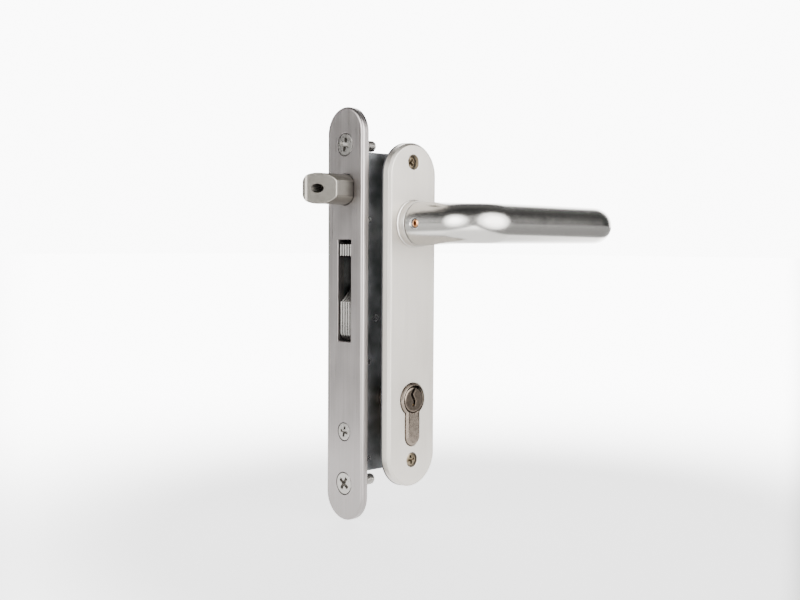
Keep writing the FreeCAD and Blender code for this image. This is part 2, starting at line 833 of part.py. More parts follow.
def hook_plate(y0, y1):
    """One plate of the hook: hub, spine and beak, cut round about the pivot."""
    round_off = hook_reach - math.sqrt(hook_reach**2 - (hook_x - hook_tip_x) ** 2)
    beak_foot_z = hook_top_z - hook_beak_drop - round_off
    spine = box(hook_spine_inner, hook_spine_outer, y0, y1, hook_z, hook_top_z)
    beak = box(hook_tip_x, hook_spine_outer, y0, y1, beak_foot_z, hook_top_z)
    ramp = prism_y(
        [
            (hook_front_x, hook_z),
            (hook_spine_outer, hook_z),
            (hook_spine_outer, hook_throat_slope_z),
            (hook_throat_slope_x, hook_throat_slope_z),
            (hook_front_x, hook_throat_foot_z),
        ],
        y0,
        y1,
    )
    upper = spine.fuse(beak).fuse(ramp).removeSplitter()
    for corner_z, radius in ((beak_foot_z, hook_throat_round), (hook_throat_slope_z, hook_foot_round)):
        corner = edges_at(upper, lambda p: near(p.x, hook_spine_inner) and near(p.z, corner_z))
        upper = upper.makeFillet(radius, corner)
    upper = upper.common(rod_y(hook_reach, y0, y1, hook_x, hook_z))
    hub = rod_y(hook_hub, y0, y1, hook_x, hook_z)
    body = upper.fuse(hub)
    body = body.cut(box(hook_x - hook_reach, hook_front_x, y0, y1, hook_z - hook_hub, hook_throat_foot_z))
    body = body.cut(rod_y(hook_pin + running_gap, y0, y1, hook_x, hook_z))
    body = body.cut(rod_y(drive_pin, y0, y1, drive_x, drive_z))
    for x, z in rivet_spots:
        body = body.cut(rod_y(hook_rivet, y0, y1, x, z))
    return body.removeSplitter()


def hook_plates():
    """The pack of plates side by side."""
    starts = [-hook_half + index * hook_plate_thickness for index in range(hook_plate_count)]
    return [hook_plate(start, start + hook_plate_thickness) for start in starts]


def hook_rivets():
    """Flush rivets through the pack."""
    return [rod_y(hook_rivet, -hook_half, hook_half, x, z) for x, z in rivet_spots]


def hook_drive_pin():
    """The pin in the hook that the slide lifts."""
    return rod_y(drive_pin, -hook_half, case_inner - side_gap, drive_x, drive_z)


save("hook_plates", hook_plates())
save("hook_rivets", hook_rivets())
save("hook_drive_pin", hook_drive_pin())


# Drive slide

slide_end_y = slide_y + slide_thickness
slide_head_x = hook_x + hook_pin + side_gap
tab_x = backset + cam_tip_centre + cam_tip - tab_overlap


def tang_top(angle, x):
    """The height of the tang's upper outline above the cam's centre, in the column x."""
    tip_x = backset + cam_tip_centre * math.cos(angle)
    tip_z = cam_tip_centre * math.sin(angle)
    normal = angle + math.acos((cam_hub - cam_tip) / cam_tip_centre)
    if x < tip_x + cam_tip * math.cos(normal):
        return (cam_hub - (x - backset) * math.cos(normal)) / math.sin(normal)
    return tip_z + math.sqrt(max(cam_tip**2 - (x - tip_x) ** 2, 0))


def tab_heights():
    """The rest heights of the tabs' inner faces, clear of the tang over its whole swing."""
    steps = 40
    highest = []
    lowest = []
    for step in range(steps + 1):
        angle = cam_rest + (cam_end - cam_rest) * step / steps
        lift = slide_travel * step / steps
        if tab_x < backset + cam_tip_centre * math.cos(angle) + cam_tip:
            highest.append(tang_top(angle, tab_x) - lift)
            lowest.append(-tang_top(-angle, tab_x) - lift)
    return cylinder_z + max(highest) + tab_gap, cylinder_z + min(lowest) - tab_gap


upper_tab_z, lower_tab_top_z = tab_heights()
lower_tab_z = lower_tab_top_z - tab_thickness


def upright_slot(x, z_low, z_high, radius):
    """A cutter for an upright slot with round ends."""
    slot = box(x - radius, x + radius, slide_y, slide_end_y, z_low, z_high)
    for z in (z_low, z_high):
        slot = slot.fuse(rod_y(radius, slide_y, slide_end_y, x, z))
    return slot


def drive_slide():
    """The sheet metal slide with its two bent tabs round the cam."""
    strip = box(slide_strip_x, slide_right_x, slide_y, slide_end_y, lower_tab_z, slide_top_z)
    head_low = drive_z - slide_head_half
    head = box(slide_head_x, slide_right_x, slide_y, slide_end_y, head_low, drive_z + slide_head_half)
    body = strip.fuse(head)
    tab_y = slide_end_y - tab_reach - slide_thickness
    for tab_z in (upper_tab_z, lower_tab_z):
        body = body.fuse(box(tab_x, slide_right_x, tab_y, slide_end_y, tab_z, tab_z + tab_thickness))
    slot_half = drive_pin + slide_slot_play
    slot_end_x = hook_x + drive_radius + drive_pin + slide_slot_play
    slot_start_x = drive_x - drive_pin - slide_slot_play
    slot = box(slot_start_x, slot_end_x, slide_y, slide_end_y, drive_z - slot_half, drive_z + slot_half)
    body = body.cut(slot)
    for x, z in guide_places:
        body = body.cut(upright_slot(x, z - slide_travel - guide_gap, z + guide_gap, guide_pin + guide_gap))
    return body.removeSplitter()


def slide_guide_pins():
    """Headed pins in the tray that the slide runs on."""
    pins = []
    for x, z in guide_places:
        head_y = slide_y - side_gap
        pin = rod_y(guide_pin, head_y, case_half_width, x, z)
        pin = pin.fuse(rod_y(guide_head, head_y - slide_thickness, head_y, x, z))
        pins.append(pin.fuse(rod_y(guide_head, slide_end_y + side_gap, case_inner, x, z)))
    return pins


save("drive_slide", drive_slide())
save("slide_guide_pins", slide_guide_pins())


# Cylinder

bore = plug_radius + running_gap
chamber_last = len(key_pin_lengths) - 1
chamber_start_y = cam_space + chamber_cam_wall + chamber_radius
chamber_pitch = (cylinder_half_length - chamber_end_wall - chamber_radius - chamber_start_y) / chamber_last


def chamber_places(side):
    """The Y of each chamber's axis; side is -1 in front, 1 behind."""
    return [side * (chamber_start_y + index * chamber_pitch) for index in range(chamber_last + 1)]


def pin_z(radius, low, high, y):
    """A pin or a chamber along Z under the plug's axis, its ends measured down from that axis."""
    return Part.makeCylinder(radius, high - low, V(backset, y, cylinder_z - high), Z_AXIS)


def cylinder_body():
    """The euro profile body, bored for plugs and tumbler pins and slotted for the cam."""
    body = euro_outline(0, -cylinder_half_length, cylinder_half_length)
    for y in (-cylinder_half_length, cylinder_half_length):
        rim = edges_at(body, lambda p: near(p.y, y))
        body = body.makeChamfer(cylinder_chamfer, rim)
    for y in chamber_places(-1) + chamber_places(1):
        body = body.cut(pin_z(chamber_radius, 0, cylinder_height, y))
    body = body.cut(rod_y(bore, -cylinder_half_length, cylinder_half_length, backset, cylinder_z))
    sweep = cam_tip_centre + cam_tip + side_gap
    body = body.cut(rod_y(sweep, -cam_space, cam_space, backset, cylinder_z))
    screw_x = backset - cylinder_web
    return body.cut(rod_x(m5_radius, screw_x, screw_x + 2 * cylinder_web, 0, cylinder_screw_z))


def keyway(y0, y1):
    """A wavy upright keyway through a plug."""
    half = keyway_width / 2
    heights = [keyway_top, keyway_top / 2, 0.0, keyway_bottom / 2, keyway_bottom]
    sways = [0.0, keyway_wave, 0.0, -keyway_wave, 0.0]
    left = [(backset + sway - half, cylinder_z + height) for height, sway in zip(heights, sways)]
    right = [(backset + sway + half, cylinder_z + height) for height, sway in zip(heights, sways)]
    return prism_y(left + right[::-1], y0, y1)


def plug(side):
    """One plug, with its keyway open at the outer end; side is -1 in front, 1 behind."""
    inner = running_gap
    shoulder = cam_space
    long_part = rod_y(plug_radius, shoulder, cylinder_half_length, backset, cylinder_z)
    rim = edges_at(long_part, lambda p: near(p.y, cylinder_half_length))
    body = long_part.makeChamfer(plug_chamfer, rim)
    body = body.fuse(rod_y(plug_end_radius, inner, shoulder, backset, cylinder_z))
    body = body.cut(keyway(shoulder, cylinder_half_length))
    chamber_top = plug_radius - max(key_pin_lengths) - pin_room
    for y in chamber_places(1):
        body = body.cut(pin_z(chamber_radius, chamber_top, cylinder_head, y))
    if side < 0:
        body = body.mirror(V(0, 0, 0), Y_AXIS)
    return body


def key_pins(side):
    """The pins in one plug, flush with its surface as they stand when the key is in."""
    surface = rod_y(plug_radius, -cylinder_half_length, cylinder_half_length, backset, cylinder_z)
    pins = []
    for y, length in zip(chamber_places(side), key_pin_lengths):
        pin = pin_z(chamber_radius - pin_gap, plug_radius - length, cylinder_head, y)
        pins.append(pin.common(surface))
    return pins


def driver_pins():
    """The pins in the body that would drop into the plugs without a key."""
    plug_bore = rod_y(bore, -cylinder_half_length, cylinder_half_length, backset, cylinder_z)
    pins = []
    for y in chamber_places(-1) + chamber_places(1):
        pin = pin_z(chamber_radius - pin_gap, plug_radius - pin_room, bore + driver_pin_length, y)
        pins.append(pin.cut(plug_bore))
    return pins


def chamber_plugs():
    """The short plugs pressed into the open ends of the chambers, flush with the foot."""
    outline = euro_outline(0, -cylinder_half_length, cylinder_half_length)
    foot = cylinder_height - cylinder_head
    plugs = []
    for y in chamber_places(-1) + chamber_places(1):
        plugs.append(pin_z(chamber_radius, foot - chamber_plug_length, cylinder_height, y).common(outline))
    return plugs


def cylinder_cam():
    """The cam between the plugs, its tang down to the right at rest."""
    centre = (backset, cylinder_z)
    tip = (cam_tip_x, cam_tip_z)
    wide = link_y(centre, cam_hub, tip, cam_tip, -cam_half_width, cam_half_width)
    wide = wide.cut(rod_y(cam_hub + side_gap, -cam_half_width, cam_half_width, *centre))
    hub = link_y(centre, cam_hub, tip, cam_tip, -cam_hub_half_width, cam_hub_half_width)
    body = wide.fuse(hub)
    return body.cut(rod_y(plug_end_radius + running_gap, -cam_half_width, cam_half_width, *centre))


def plug_circlips():
    """Spring clips on the plug ends, beside the cam."""
    clips = []
    for side in (-1, 1):
        low, high = sorted((side * (cam_hub_half_width + running_gap), side * cam_half_width))
        clip = rod_y(plug_end_radius + circlip_wall, low, high, backset, cylinder_z)
        clip = clip.cut(rod_y(plug_end_radius, low, high, backset, cylinder_z))
        gap_x = backset - plug_end_radius - circlip_wall
        gap = box(gap_x, backset, low, high, cylinder_z - 2 * circlip_wall, cylinder_z + 2 * circlip_wall)
        clips.append(clip.cut(gap))
    return clips


front_clip, rear_clip = plug_circlips()
save("cylinder_body", cylinder_body())
save("front_plug", plug(-1))
save("rear_plug", plug(1))
save("front_key_pins", key_pins(-1))
save("rear_key_pins", key_pins(1))
save("driver_pins", driver_pins())
save("chamber_plugs", chamber_plugs())
save("cylinder_cam", cylinder_cam())
save("front_circlip", front_clip)
save("rear_circlip", rear_clip)
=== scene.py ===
"""Looks of the mortise gate lock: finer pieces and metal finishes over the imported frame."""
import math
import bmesh
import bpy
import numpy as np
from mathutils.geometry import tessellate_polygon
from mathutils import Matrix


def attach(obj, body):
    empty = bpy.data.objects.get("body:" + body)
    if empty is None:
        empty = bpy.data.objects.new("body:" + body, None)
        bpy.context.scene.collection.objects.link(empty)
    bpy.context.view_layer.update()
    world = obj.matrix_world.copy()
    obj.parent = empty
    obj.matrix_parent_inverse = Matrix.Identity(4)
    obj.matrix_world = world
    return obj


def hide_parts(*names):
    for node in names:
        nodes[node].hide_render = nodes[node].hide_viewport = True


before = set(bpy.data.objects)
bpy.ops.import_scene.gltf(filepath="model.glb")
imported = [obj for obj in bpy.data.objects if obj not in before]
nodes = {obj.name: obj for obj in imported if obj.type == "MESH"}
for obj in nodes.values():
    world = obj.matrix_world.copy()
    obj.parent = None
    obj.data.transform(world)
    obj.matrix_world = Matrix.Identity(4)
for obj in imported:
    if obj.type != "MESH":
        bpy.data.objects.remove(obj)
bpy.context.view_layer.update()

# Studio. The lock is seen from the front and the left, at the height of its lever.
# The camera has a 52 mm lens and stands 0.6 m away; softboxes light a floor that a painted glow
# makes pale.
focal_pixels, picture_width, film_width = 1155.0, 800.0, 36.0
camera_place = (-0.4019, -0.4562, -0.0101)
yaw, pitch, roll = math.radians(46.16), math.radians(2.82), math.radians(0.34)
ahead = np.array([math.cos(yaw) * math.cos(pitch),
                  math.sin(yaw) * math.cos(pitch), -math.sin(pitch)])
level = np.cross(ahead, [0.0, 0.0, 1.0])
level = level / np.linalg.norm(level)
upright = np.cross(level, ahead)
camera = bpy.data.objects.new("camera", bpy.data.cameras.new("camera"))
camera.data.lens = focal_pixels * film_width / picture_width
camera.data.sensor_width = film_width
camera.data.clip_start = 0.01
placing = np.eye(4)
placing[:3, 0] = math.cos(roll) * level + math.sin(roll) * upright
placing[:3, 1] = math.cos(roll) * upright - math.sin(roll) * level
placing[:3, 2] = -ahead
placing[:3, 3] = camera_place
camera.matrix_world = placing.T.tolist()
bpy.context.scene.collection.objects.link(camera)
bpy.context.scene.camera = camera


def softbox(name, place, target, width, height, watts):
    """A rectangular area light at place, facing target."""
    lamp = bpy.data.lights.new(name, "AREA")
    lamp.shape = "RECTANGLE"
    lamp.size, lamp.size_y, lamp.energy = width, height, watts
    stand = bpy.data.objects.new(name, lamp)
    way = np.array(target, float) - np.array(place, float)
    way = way / np.linalg.norm(way)
    side = np.cross(way, [0.0, 0.0, 1.0])
    side = side / np.linalg.norm(side)
    turn = np.eye(4)
    turn[:3, 0], turn[:3, 1], turn[:3, 2] = side, np.cross(side, way), -way
    turn[:3, 3] = place
    stand.matrix_world = turn.T.tolist()
    bpy.context.scene.collection.objects.link(stand)


softbox("key_light", place=(-0.1, -1.1, 1.1), target=(0.03, -0.05, 0.0),
        width=0.6, height=0.5, watts=1.2)
softbox("left_light", place=(-1.3, 0.1, 0.5), target=(0.0, 0.0, -0.05),
        width=0.5, height=0.5, watts=2.0)

world = bpy.data.worlds.new("studio")
world.use_nodes = True
bpy.context.scene.world = world
studio = world.node_tree
sky = studio.nodes["Background"]
sky.inputs["Color"].default_value = (1.0, 1.0, 1.0, 1.0)


def spread(tree, value, start, stop, low, high, kind="LINEAR"):
    """A value that goes from start to stop, turned into an amount that goes from low to high."""
    ramp = tree.nodes.new("ShaderNodeMapRange")
    ramp.interpolation_type = kind
    for socket, number in (("From Min", start), ("From Max", stop),
                           ("To Min", low), ("To Max", high)):
        ramp.inputs[socket].default_value = number
    tree.links.new(value, ramp.inputs["Value"])
    return ramp.outputs["Result"]


def band(tree, source, towards, dark, bright, low, high):
    """An amount that goes smoothly from low to high as the cosine between the source vector and
    a direction goes from dark to bright."""
    turn = tree.nodes.new("ShaderNodeVectorMath")
    turn.operation = "DOT_PRODUCT"
    turn.inputs[1].default_value = towards
    tree.links.new(source, turn.inputs[0])
    return spread(tree, turn.outputs["Value"], dark, bright, low, high, "SMOOTHSTEP")


def join(tree, operation, first, second):
    """Two amounts added or multiplied. The second may be a plain number."""
    both = tree.nodes.new("ShaderNodeMath")
    both.operation = operation
    tree.links.new(first, both.inputs[0])
    if isinstance(second, float):
        both.inputs[1].default_value = second
    else:
        tree.links.new(second, both.inputs[1])
    return both.outputs["Value"]


# Light of the walls: an even part, a white wall behind the lock, and two large softboxes.
# Each row has a direction, the cosines where its light starts and is full, and its strength.
even_light = 0.06
high_behind, behind_camera = (0.5, 0.5, 0.707), (-0.69, -0.69, 0.22)
right_box, left_box = (0.034, -0.977, 0.208), (-0.973, 0.102, 0.208)
every_way = studio.nodes.new("ShaderNodeTexCoord").outputs["Object"]
walls = even_light
for towards, dark, bright, light in (
        (tuple(ahead), 0.68, 0.87, 10.0), (high_behind, 0.6, 0.95, 0.2),
        (right_box, 0.71, 0.80, 6.0), (left_box, 0.82, 0.92, 6.5),
        (right_box, 0.84, 0.96, 8.0), (left_box, 0.92, 0.99, 8.0),
        (behind_camera, 0.75, 0.95, 0.6)):
    walls = join(studio, "ADD", band(studio, every_way, towards, dark, bright, 0.0, light), walls)
studio.links.new(walls, sky.inputs["Strength"])

floor_z, floor_half, floor_grey = -0.1575, 12.0, 0.26
floor_mesh = bpy.data.meshes.new("floor")
floor_mesh.from_pydata(
    [(-floor_half, -floor_half, floor_z), (floor_half, -floor_half, floor_z),
     (floor_half, floor_half, floor_z), (-floor_half, floor_half, floor_z)], [], [(0, 1, 2, 3)])
floor = bpy.data.objects.new("floor", floor_mesh)
bpy.context.scene.collection.objects.link(floor)
paper = bpy.data.materials.new("paper_with_painted_glow")
paper.use_nodes = True
sheet = paper.node_tree
paper_face = sheet.nodes["Principled BSDF"]
paper_face.inputs["Base Color"].default_value = (floor_grey, floor_grey, floor_grey, 1.0)
paper_face.inputs["Roughness"].default_value = 0.9
paper_face.inputs["Emission Color"].default_value = (1.0, 1.0, 1.0, 1.0)
floor_spot = sheet.nodes.new("ShaderNodeTexCoord").outputs["Object"]


def sight_from(place):
    """The direction in which each spot of the floor is seen from a place."""
    span = sheet.nodes.new("ShaderNodeVectorMath")
    span.operation = "SUBTRACT"
    span.inputs[1].default_value = place
    sheet.links.new(floor_spot, span.inputs[0])
    sight = sheet.nodes.new("ShaderNodeVectorMath")
    sight.operation = "NORMALIZE"
    sheet.links.new(span.outputs["Vector"], sight.inputs[0])
    return sight.outputs["Vector"]


# Painted light of the floor: it glows, though it is no lamp, between the edges of the camera's
# view, less so close to the lock, and glows again where the lever sees it below the two softboxes,
# so the lever mirrors a painted glow there.
from_camera, from_lever = sight_from(camera_place), sight_from((0.04, -0.06, 0.0))
past_right_edge, past_left_edge = (-0.4305, 0.9026, 0.0), (-0.866, 0.5, 0.0)
straight_down = (0.0, 0.0, -1.0)
glow = band(sheet, from_camera, past_right_edge, 0.0, 0.04, 0.0, 10.0)
for source, towards, bright, dark, share in (
        (from_camera, past_left_edge, 0.06, 0.2, 0.08),
        (from_lever, straight_down, 0.2, 0.7, 0.24)):
    glow = join(sheet, "MULTIPLY", band(sheet, source, towards, bright, dark, 1.0, share), glow)
for towards, dark, bright, light in (
        (right_box, 0.71, 0.80, 5.0), (left_box, 0.82, 0.92, 3.8),
        (right_box, 0.80, 0.94, 6.0), (left_box, 0.90, 0.98, 4.5)):
    glow = join(sheet, "ADD", band(sheet, from_lever, towards, dark, bright, 0.0, light), glow)
sheet.links.new(glow, paper_face.inputs["Emission Strength"])
floor.data.materials.append(paper)

# Faceplate. A stainless cover strip 28 mm wide with full round ends and a rounded front
# edge, ground along its length. It is pierced for latch, hook and three countersunk screws.
mm = 0.001
face_front, face_seam, gate_edge = -4.3, -2.0, 0.0
face_half, face_mid, face_long, face_round = 14.0, -48.0, 108.5, 1.4
latch_z, latch_hole, latch_hole_flat = 17.65, 8.25, 7.25
slot_half, slot_low, slot_high, slot_corner = 5.175, -61.98, -8.4, 0.5
face_screws, big_mouth, big_shank = (41.0, -137.0), 6.05, 3.75
cylinder_screw_z, small_mouth, small_shank = -109.5, 4.95, 2.65


def arc(centre, radius, start, stop, count):
    """Points on a circle about centre, from start to stop degrees."""
    turn = np.radians(np.linspace(start, stop, count))
    return np.stack([centre[0] + radius * np.cos(turn), centre[1] + radius * np.sin(turn)], 1)


def circle(centre, radius, count):
    """Points all round a circle about centre."""
    return arc(centre, radius, 0, 360, count + 1)[:-1]


def rounded(corners, radius, count=6):
    """A closed loop through the corners, each replaced by an arc that touches both its sides."""
    corners = np.array(corners, float)
    before = np.roll(corners, 1, 0) - corners
    after = np.roll(corners, -1, 0) - corners
    before = before / np.linalg.norm(before, axis=1)[:, None]
    after = after / np.linalg.norm(after, axis=1)[:, None]
    half = np.arccos(np.clip((before * after).sum(1), -1, 1)) / 2
    bisector = (before + after) / np.linalg.norm(before + after, axis=1)[:, None]
    centres = corners + bisector * (radius / np.sin(half))[:, None]
    first = corners + before * (radius / np.tan(half))[:, None] - centres
    last = corners + after * (radius / np.tan(half))[:, None] - centres
    turn = np.arctan2(first[:, 1], first[:, 0])
    sweep = np.arctan2(last[:, 1], last[:, 0]) - turn
    sweep = (sweep + np.pi) % (2 * np.pi) - np.pi
    angle = turn[:, None] + sweep[:, None] * np.linspace(0, 1, count)
    loop = centres[:, None] + radius * np.stack([np.cos(angle), np.sin(angle)], 2)
    return loop.reshape(-1, 2)


def outward(loop):
    """Mitred normals that point out of a closed loop, so an offset keeps its sides parallel."""
    step = np.roll(loop, -1, 0) - loop
    step = step / np.linalg.norm(step, axis=1)[:, None]
    side = np.stack([step[:, 1], -step[:, 0]], 1)
    both = side + np.roll(side, 1, 0)
    both = both / (both * side).sum(1)[:, None]
    area = (loop[:, 0] * np.roll(loop[:, 1], -1) - loop[:, 1] * np.roll(loop[:, 0], -1)).sum()
    return both * np.sign(area)


def to_gate_edge(across, up, depth):
    """Faceplate coordinates: across is Y, up is Z, depth is X."""
    return np.stack([depth, across, up], -1) * mm


def shell(points, faces):
    """A closed mesh from points in metres and faces, with every normal turned outward."""
    mesh = bpy.data.meshes.new("shell")
    mesh.from_pydata(points, [], faces)
    bm = bmesh.new()
    bm.from_mesh(mesh)
    bmesh.ops.recalc_face_normals(bm, faces=bm.faces)
    bm.to_mesh(mesh)
    bm.free()
    return mesh


def make_piece(name, mesh, sharp=32.0):
    """A smooth shaded object with sharp edges above an angle and normals weighted by area."""
    mesh.name = name
    mesh.shade_smooth()
    mesh.set_sharp_from_angle(angle=math.radians(sharp))
    piece = bpy.data.objects.new(name, mesh)
    bpy.context.scene.collection.objects.link(piece)
    even = piece.modifiers.new("even_normals", "WEIGHTED_NORMAL")
    even.keep_sharp = True
    return piece


def grid_quads(first, rows, columns):
    """The quads between the rows of a grid that closes across its columns."""
    here = first + np.arange(rows * columns).reshape(rows, columns)
    beside = np.roll(here, -1, 1)
    return np.stack([here[:-1], beside[:-1], beside[1:], here[1:]], -1).reshape(-1, 4).tolist()


def pierced_plate(name, rims, onto):
    """A plate from closed loops, the first its outline and the rest its holes.
    Each loop is offset and sunk by the rows of its profile, from the front face to the back
    face: point = loop + normal x offset, at the row's depth. Both faces are filled between
    the loops' end rows."""
    points, faces, fronts, backs, total = [], [], [], [], 0
    for loop, profile in rims:
        rows = np.array(profile, float)
        flat = loop[None] + outward(loop)[None] * rows[:, 0, None, None]
        depth = np.broadcast_to(rows[:, 1, None], flat.shape[:2])
        points.append(onto(flat[..., 0], flat[..., 1], depth).reshape(-1, 3))
        faces += grid_quads(total, len(rows), len(loop))
        fronts.append((flat[0], total))
        backs.append((flat[-1], total + (len(rows) - 1) * len(loop)))
        total += len(rows) * len(loop)
    for rings in (fronts, backs):
        number = np.concatenate([first + np.arange(len(ring)) for ring, first in rings])
        flat = [np.pad(ring, ((0, 0), (0, 1))).tolist() for ring, first in rings]
        faces += number[np.array(tessellate_polygon(flat))].tolist()
    return make_piece(name, shell(np.concatenate(points), faces))


def quarter(radius, count, depth):
    """Profile rows of a rounded edge, from the flat face over to the upright side: offset =
    radius x (cosine - 1), depth = the face's depth + radius x (1 - sine)."""
    turn = np.radians(np.linspace(90, 0, count))
    return [(radius * (math.cos(t) - 1), depth + radius * (1 - math.sin(t))) for t in turn]


def stadium(centre_a, centre_b, half, length_half, count=48):
    """A strip with full round ends: two half circles joined by straight sides."""
    top = arc((centre_a, centre_b + length_half - half), half, 0, 180, count)
    foot = arc((centre_a, centre_b - length_half + half), half, 180, 360, count)
    return np.concatenate([top, foot])


def latch_loop(radius, flat, count=24):
    """A circle about the latch axis with its two sides cut flat."""
    lean = math.degrees(math.acos(flat / radius))
    right = arc((0.0, latch_z), radius, lean, 180 - lean, count)
    left = arc((0.0, latch_z), radius, 180 + lean, 360 - lean, count)
    return np.concatenate([right, left])


def countersink(radius, shank):
    """Rows of a countersunk screw's hole: its mouth, its cone and its clearance."""
    cone = radius - shank
    return [(0.12, face_front), (0.0, face_front + 0.1), (-0.05, face_front + 0.75),
            (-cone, face_front + cone), (-cone, face_seam)]


face_profile = [(-1.9, face_front)] + quarter(face_round, 9, face_front)
face_profile += [(0.0, face_seam - 0.12), (-0.15, face_seam)]
open_edge = [(-a, b) for a, b in quarter(0.25, 3, face_front)] + [(0.0, face_seam)]
slot_loop = rounded([(-slot_half, slot_low), (slot_half, slot_low),
                     (slot_half, slot_high), (-slot_half, slot_high)], slot_corner)
cover_rims = [(stadium(0.0, face_mid, face_half, face_long), face_profile),
              (latch_loop(latch_hole, latch_hole_flat), open_edge), (slot_loop, open_edge)]
for height in face_screws:
    cover_rims.append((circle((0.0, height), big_mouth, 64), countersink(big_mouth, big_shank)))
cover_rims.append((circle((0.0, cylinder_screw_z), small_mouth, 64),
                   countersink(small_mouth, small_shank)))
cover = pierced_plate("faceplate_cover", cover_rims, to_gate_edge)


def noise(tree, vector, scale, detail):
    """A noise over a vector, scale times finer than the vector's unit."""
    texture = tree.nodes.new("ShaderNodeTexNoise")
    texture.inputs["Scale"].default_value = scale
    texture.inputs["Detail"].default_value = detail
    tree.links.new(vector, texture.inputs["Vector"])
    return texture.outputs["Fac"]


def new_finish(name):
    """An empty material with its node tree and the place of each point on the piece."""
    finish = bpy.data.materials.new(name)
    finish.use_nodes = True
    place = finish.node_tree.nodes.new("ShaderNodeTexCoord")
    return finish, finish.node_tree, place.outputs["Object"]


def give_surface(tree, colour, shade, rough, height, bump, deep):
    """Colour x shade, roughness and a relief of height x deep, on the material's own shader."""
    shader = tree.nodes["Principled BSDF"]
    tint = tree.nodes.new("ShaderNodeVectorMath")
    tint.operation = "SCALE"
    tint.inputs[0].default_value = colour
    tree.links.new(shade, tint.inputs["Scale"])
    tree.links.new(tint.outputs["Vector"], shader.inputs["Base Color"])
    tree.links.new(rough, shader.inputs["Roughness"])
    relief = tree.nodes.new("ShaderNodeBump")
    relief.inputs["Strength"].default_value = bump
    relief.inputs["Distance"].default_value = deep
    tree.links.new(height, relief.inputs["Height"])
    tree.links.new(relief.outputs["Normal"], shader.inputs["Normal"])


def metal(name, colour, rough, grain, contrast, bump):
    """A metal whose roughness, shade and relief follow a noise stretched by grain, with faint
    cloudy variation on top. Grain is the noise's scale along X, Y and Z per metre."""
    cloud_scale, cloud_share, low, high = 60.0, 0.35, 0.4, 0.95
    finish, tree, place = new_finish(name)
    tree.nodes["Principled BSDF"].inputs["Metallic"].default_value = 1.0
    stretch = tree.nodes.new("ShaderNodeMapping")
    stretch.inputs["Scale"].default_value = grain
    tree.links.new(place, stretch.inputs["Vector"])
    streaks = noise(tree, stretch.outputs["Vector"], 1.0, 4.0)
    mixed = tree.nodes.new("ShaderNodeMath")
    mixed.operation = "MULTIPLY_ADD"
    mixed.inputs[1].default_value = cloud_share
    tree.links.new(noise(tree, place, cloud_scale, 3.0), mixed.inputs[0])
    tree.links.new(streaks, mixed.inputs[2])
    wear = mixed.outputs["Value"]
    give_surface(tree, colour, spread(tree, wear, low, high, 1.0 - contrast, 1.0 + contrast),
                 spread(tree, wear, low, high, rough[0], rough[1]), streaks, bump, 0.0001)
    return finish


def dress(piece, finish, body, slot, *stands_for):
    """Give a piece its finish and its body, and hide the nodes that it stands for. The slot is not
    used.
    """
    piece.data.materials.append(finish)
    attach(piece, body)
    if stands_for:
        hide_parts(*stands_for)
    return piece


ground_stainless = metal("ground_stainless", (0.256, 0.2375, 0.23), (0.26, 0.4),
                         (1800.0, 1800.0, 25.0), 0.1, 0.12)
dress(cover, ground_stainless, "case", "faceplate_steel", "faceplate")

# Forend. The second stainless strip behind the cover, 2 mm thick, that the case is fixed to.
# Its edges are only broken, so a fine dark seam shows between the two layers.
base_profile = [(-0.25, face_seam), (-0.05, face_seam + 0.15),
                (-0.05, gate_edge - 0.15), (-0.2, gate_edge)]
base_rims = [(stadium(0.0, face_mid, face_half, face_long), base_profile)]
for loop, profile in cover_rims[1:]:
    base_rims.append((loop, [(profile[-1][0], face_seam), (profile[-1][0], gate_edge)]))
forend = pierced_plate("forend_strip", base_rims, to_gate_edge)
dress(forend, ground_stainless, "case", "faceplate_steel", "forend_base")

# Countersunk screws. Two M6 and one M5 stainless screws with a driver cross, their heads
# flush with the faceplate. The threads are rolled, so their crests are rounded.
head_sunk, screw_columns = 0.15, 72


def skin(*grids, ring=False):
    """A closed mesh from grids of points, each closed across its columns. Its end rows are
    capped, or its last row joins its first to a ring."""
    points, faces, total = [], [], 0
    for grid in grids:
        if ring:
            grid = np.concatenate([grid, grid[:1]])
        rows, columns = grid.shape[:2]
        quads = np.array(grid_quads(total, rows, columns))
        if ring:
            rows -= 1
            quads = total + (quads - total) % (rows * columns)
        faces += quads.tolist()
        if not ring:
            last = total + (rows - 1) * columns
            faces += [list(range(total, total + columns)), list(range(last, last + columns))]
        points.append(grid[:rows].reshape(-1, 3))
        total += rows * columns
    return shell(np.concatenate(points), faces)


def hollow(piece, *cutters):
    """Cut closed meshes out of a piece for good."""
    for mesh in cutters:
        tool = bpy.data.objects.new("cutter", mesh)
        bpy.context.scene.collection.objects.link(tool)
        cut = piece.modifiers.new("cut", "BOOLEAN")
        cut.operation, cut.object, cut.solver = "DIFFERENCE", tool, "EXACT"
        piece.modifiers.move(len(piece.modifiers) - 1, 0)
        with bpy.context.temp_override(object=piece, active_object=piece):
            bpy.ops.object.modifier_apply(modifier="cut")
        bpy.data.objects.remove(tool)
        bpy.data.meshes.remove(mesh)
    piece.data.shade_smooth()
    piece.data.set_sharp_from_angle(angle=math.radians(32.0))


def turned_points(profile, columns=96):
    """A profile of (radius, depth) rows turned about the depth axis."""
    rows = np.array(profile, float)
    turn = np.linspace(0, 2 * np.pi, columns, endpoint=False)
    a = rows[:, 0, None] * np.cos(turn)
    b = rows[:, 0, None] * np.sin(turn)
    return a, b, np.broadcast_to(rows[:, 1, None], a.shape)


def screw_head(radius, cone, neck_end, neck, round_top=0.12):
    """A countersunk head and its neck, as turned points from the middle of its face outwards."""
    rows = [(0.02, 0.0), (radius - round_top, 0.0),
            (radius - 0.3 * round_top, 0.3 * round_top), (radius, round_top),
            (radius - cone + 0.1, cone - 0.1), (neck, cone + 0.1), (neck, neck_end)]
    return turned_points(rows, screw_columns)


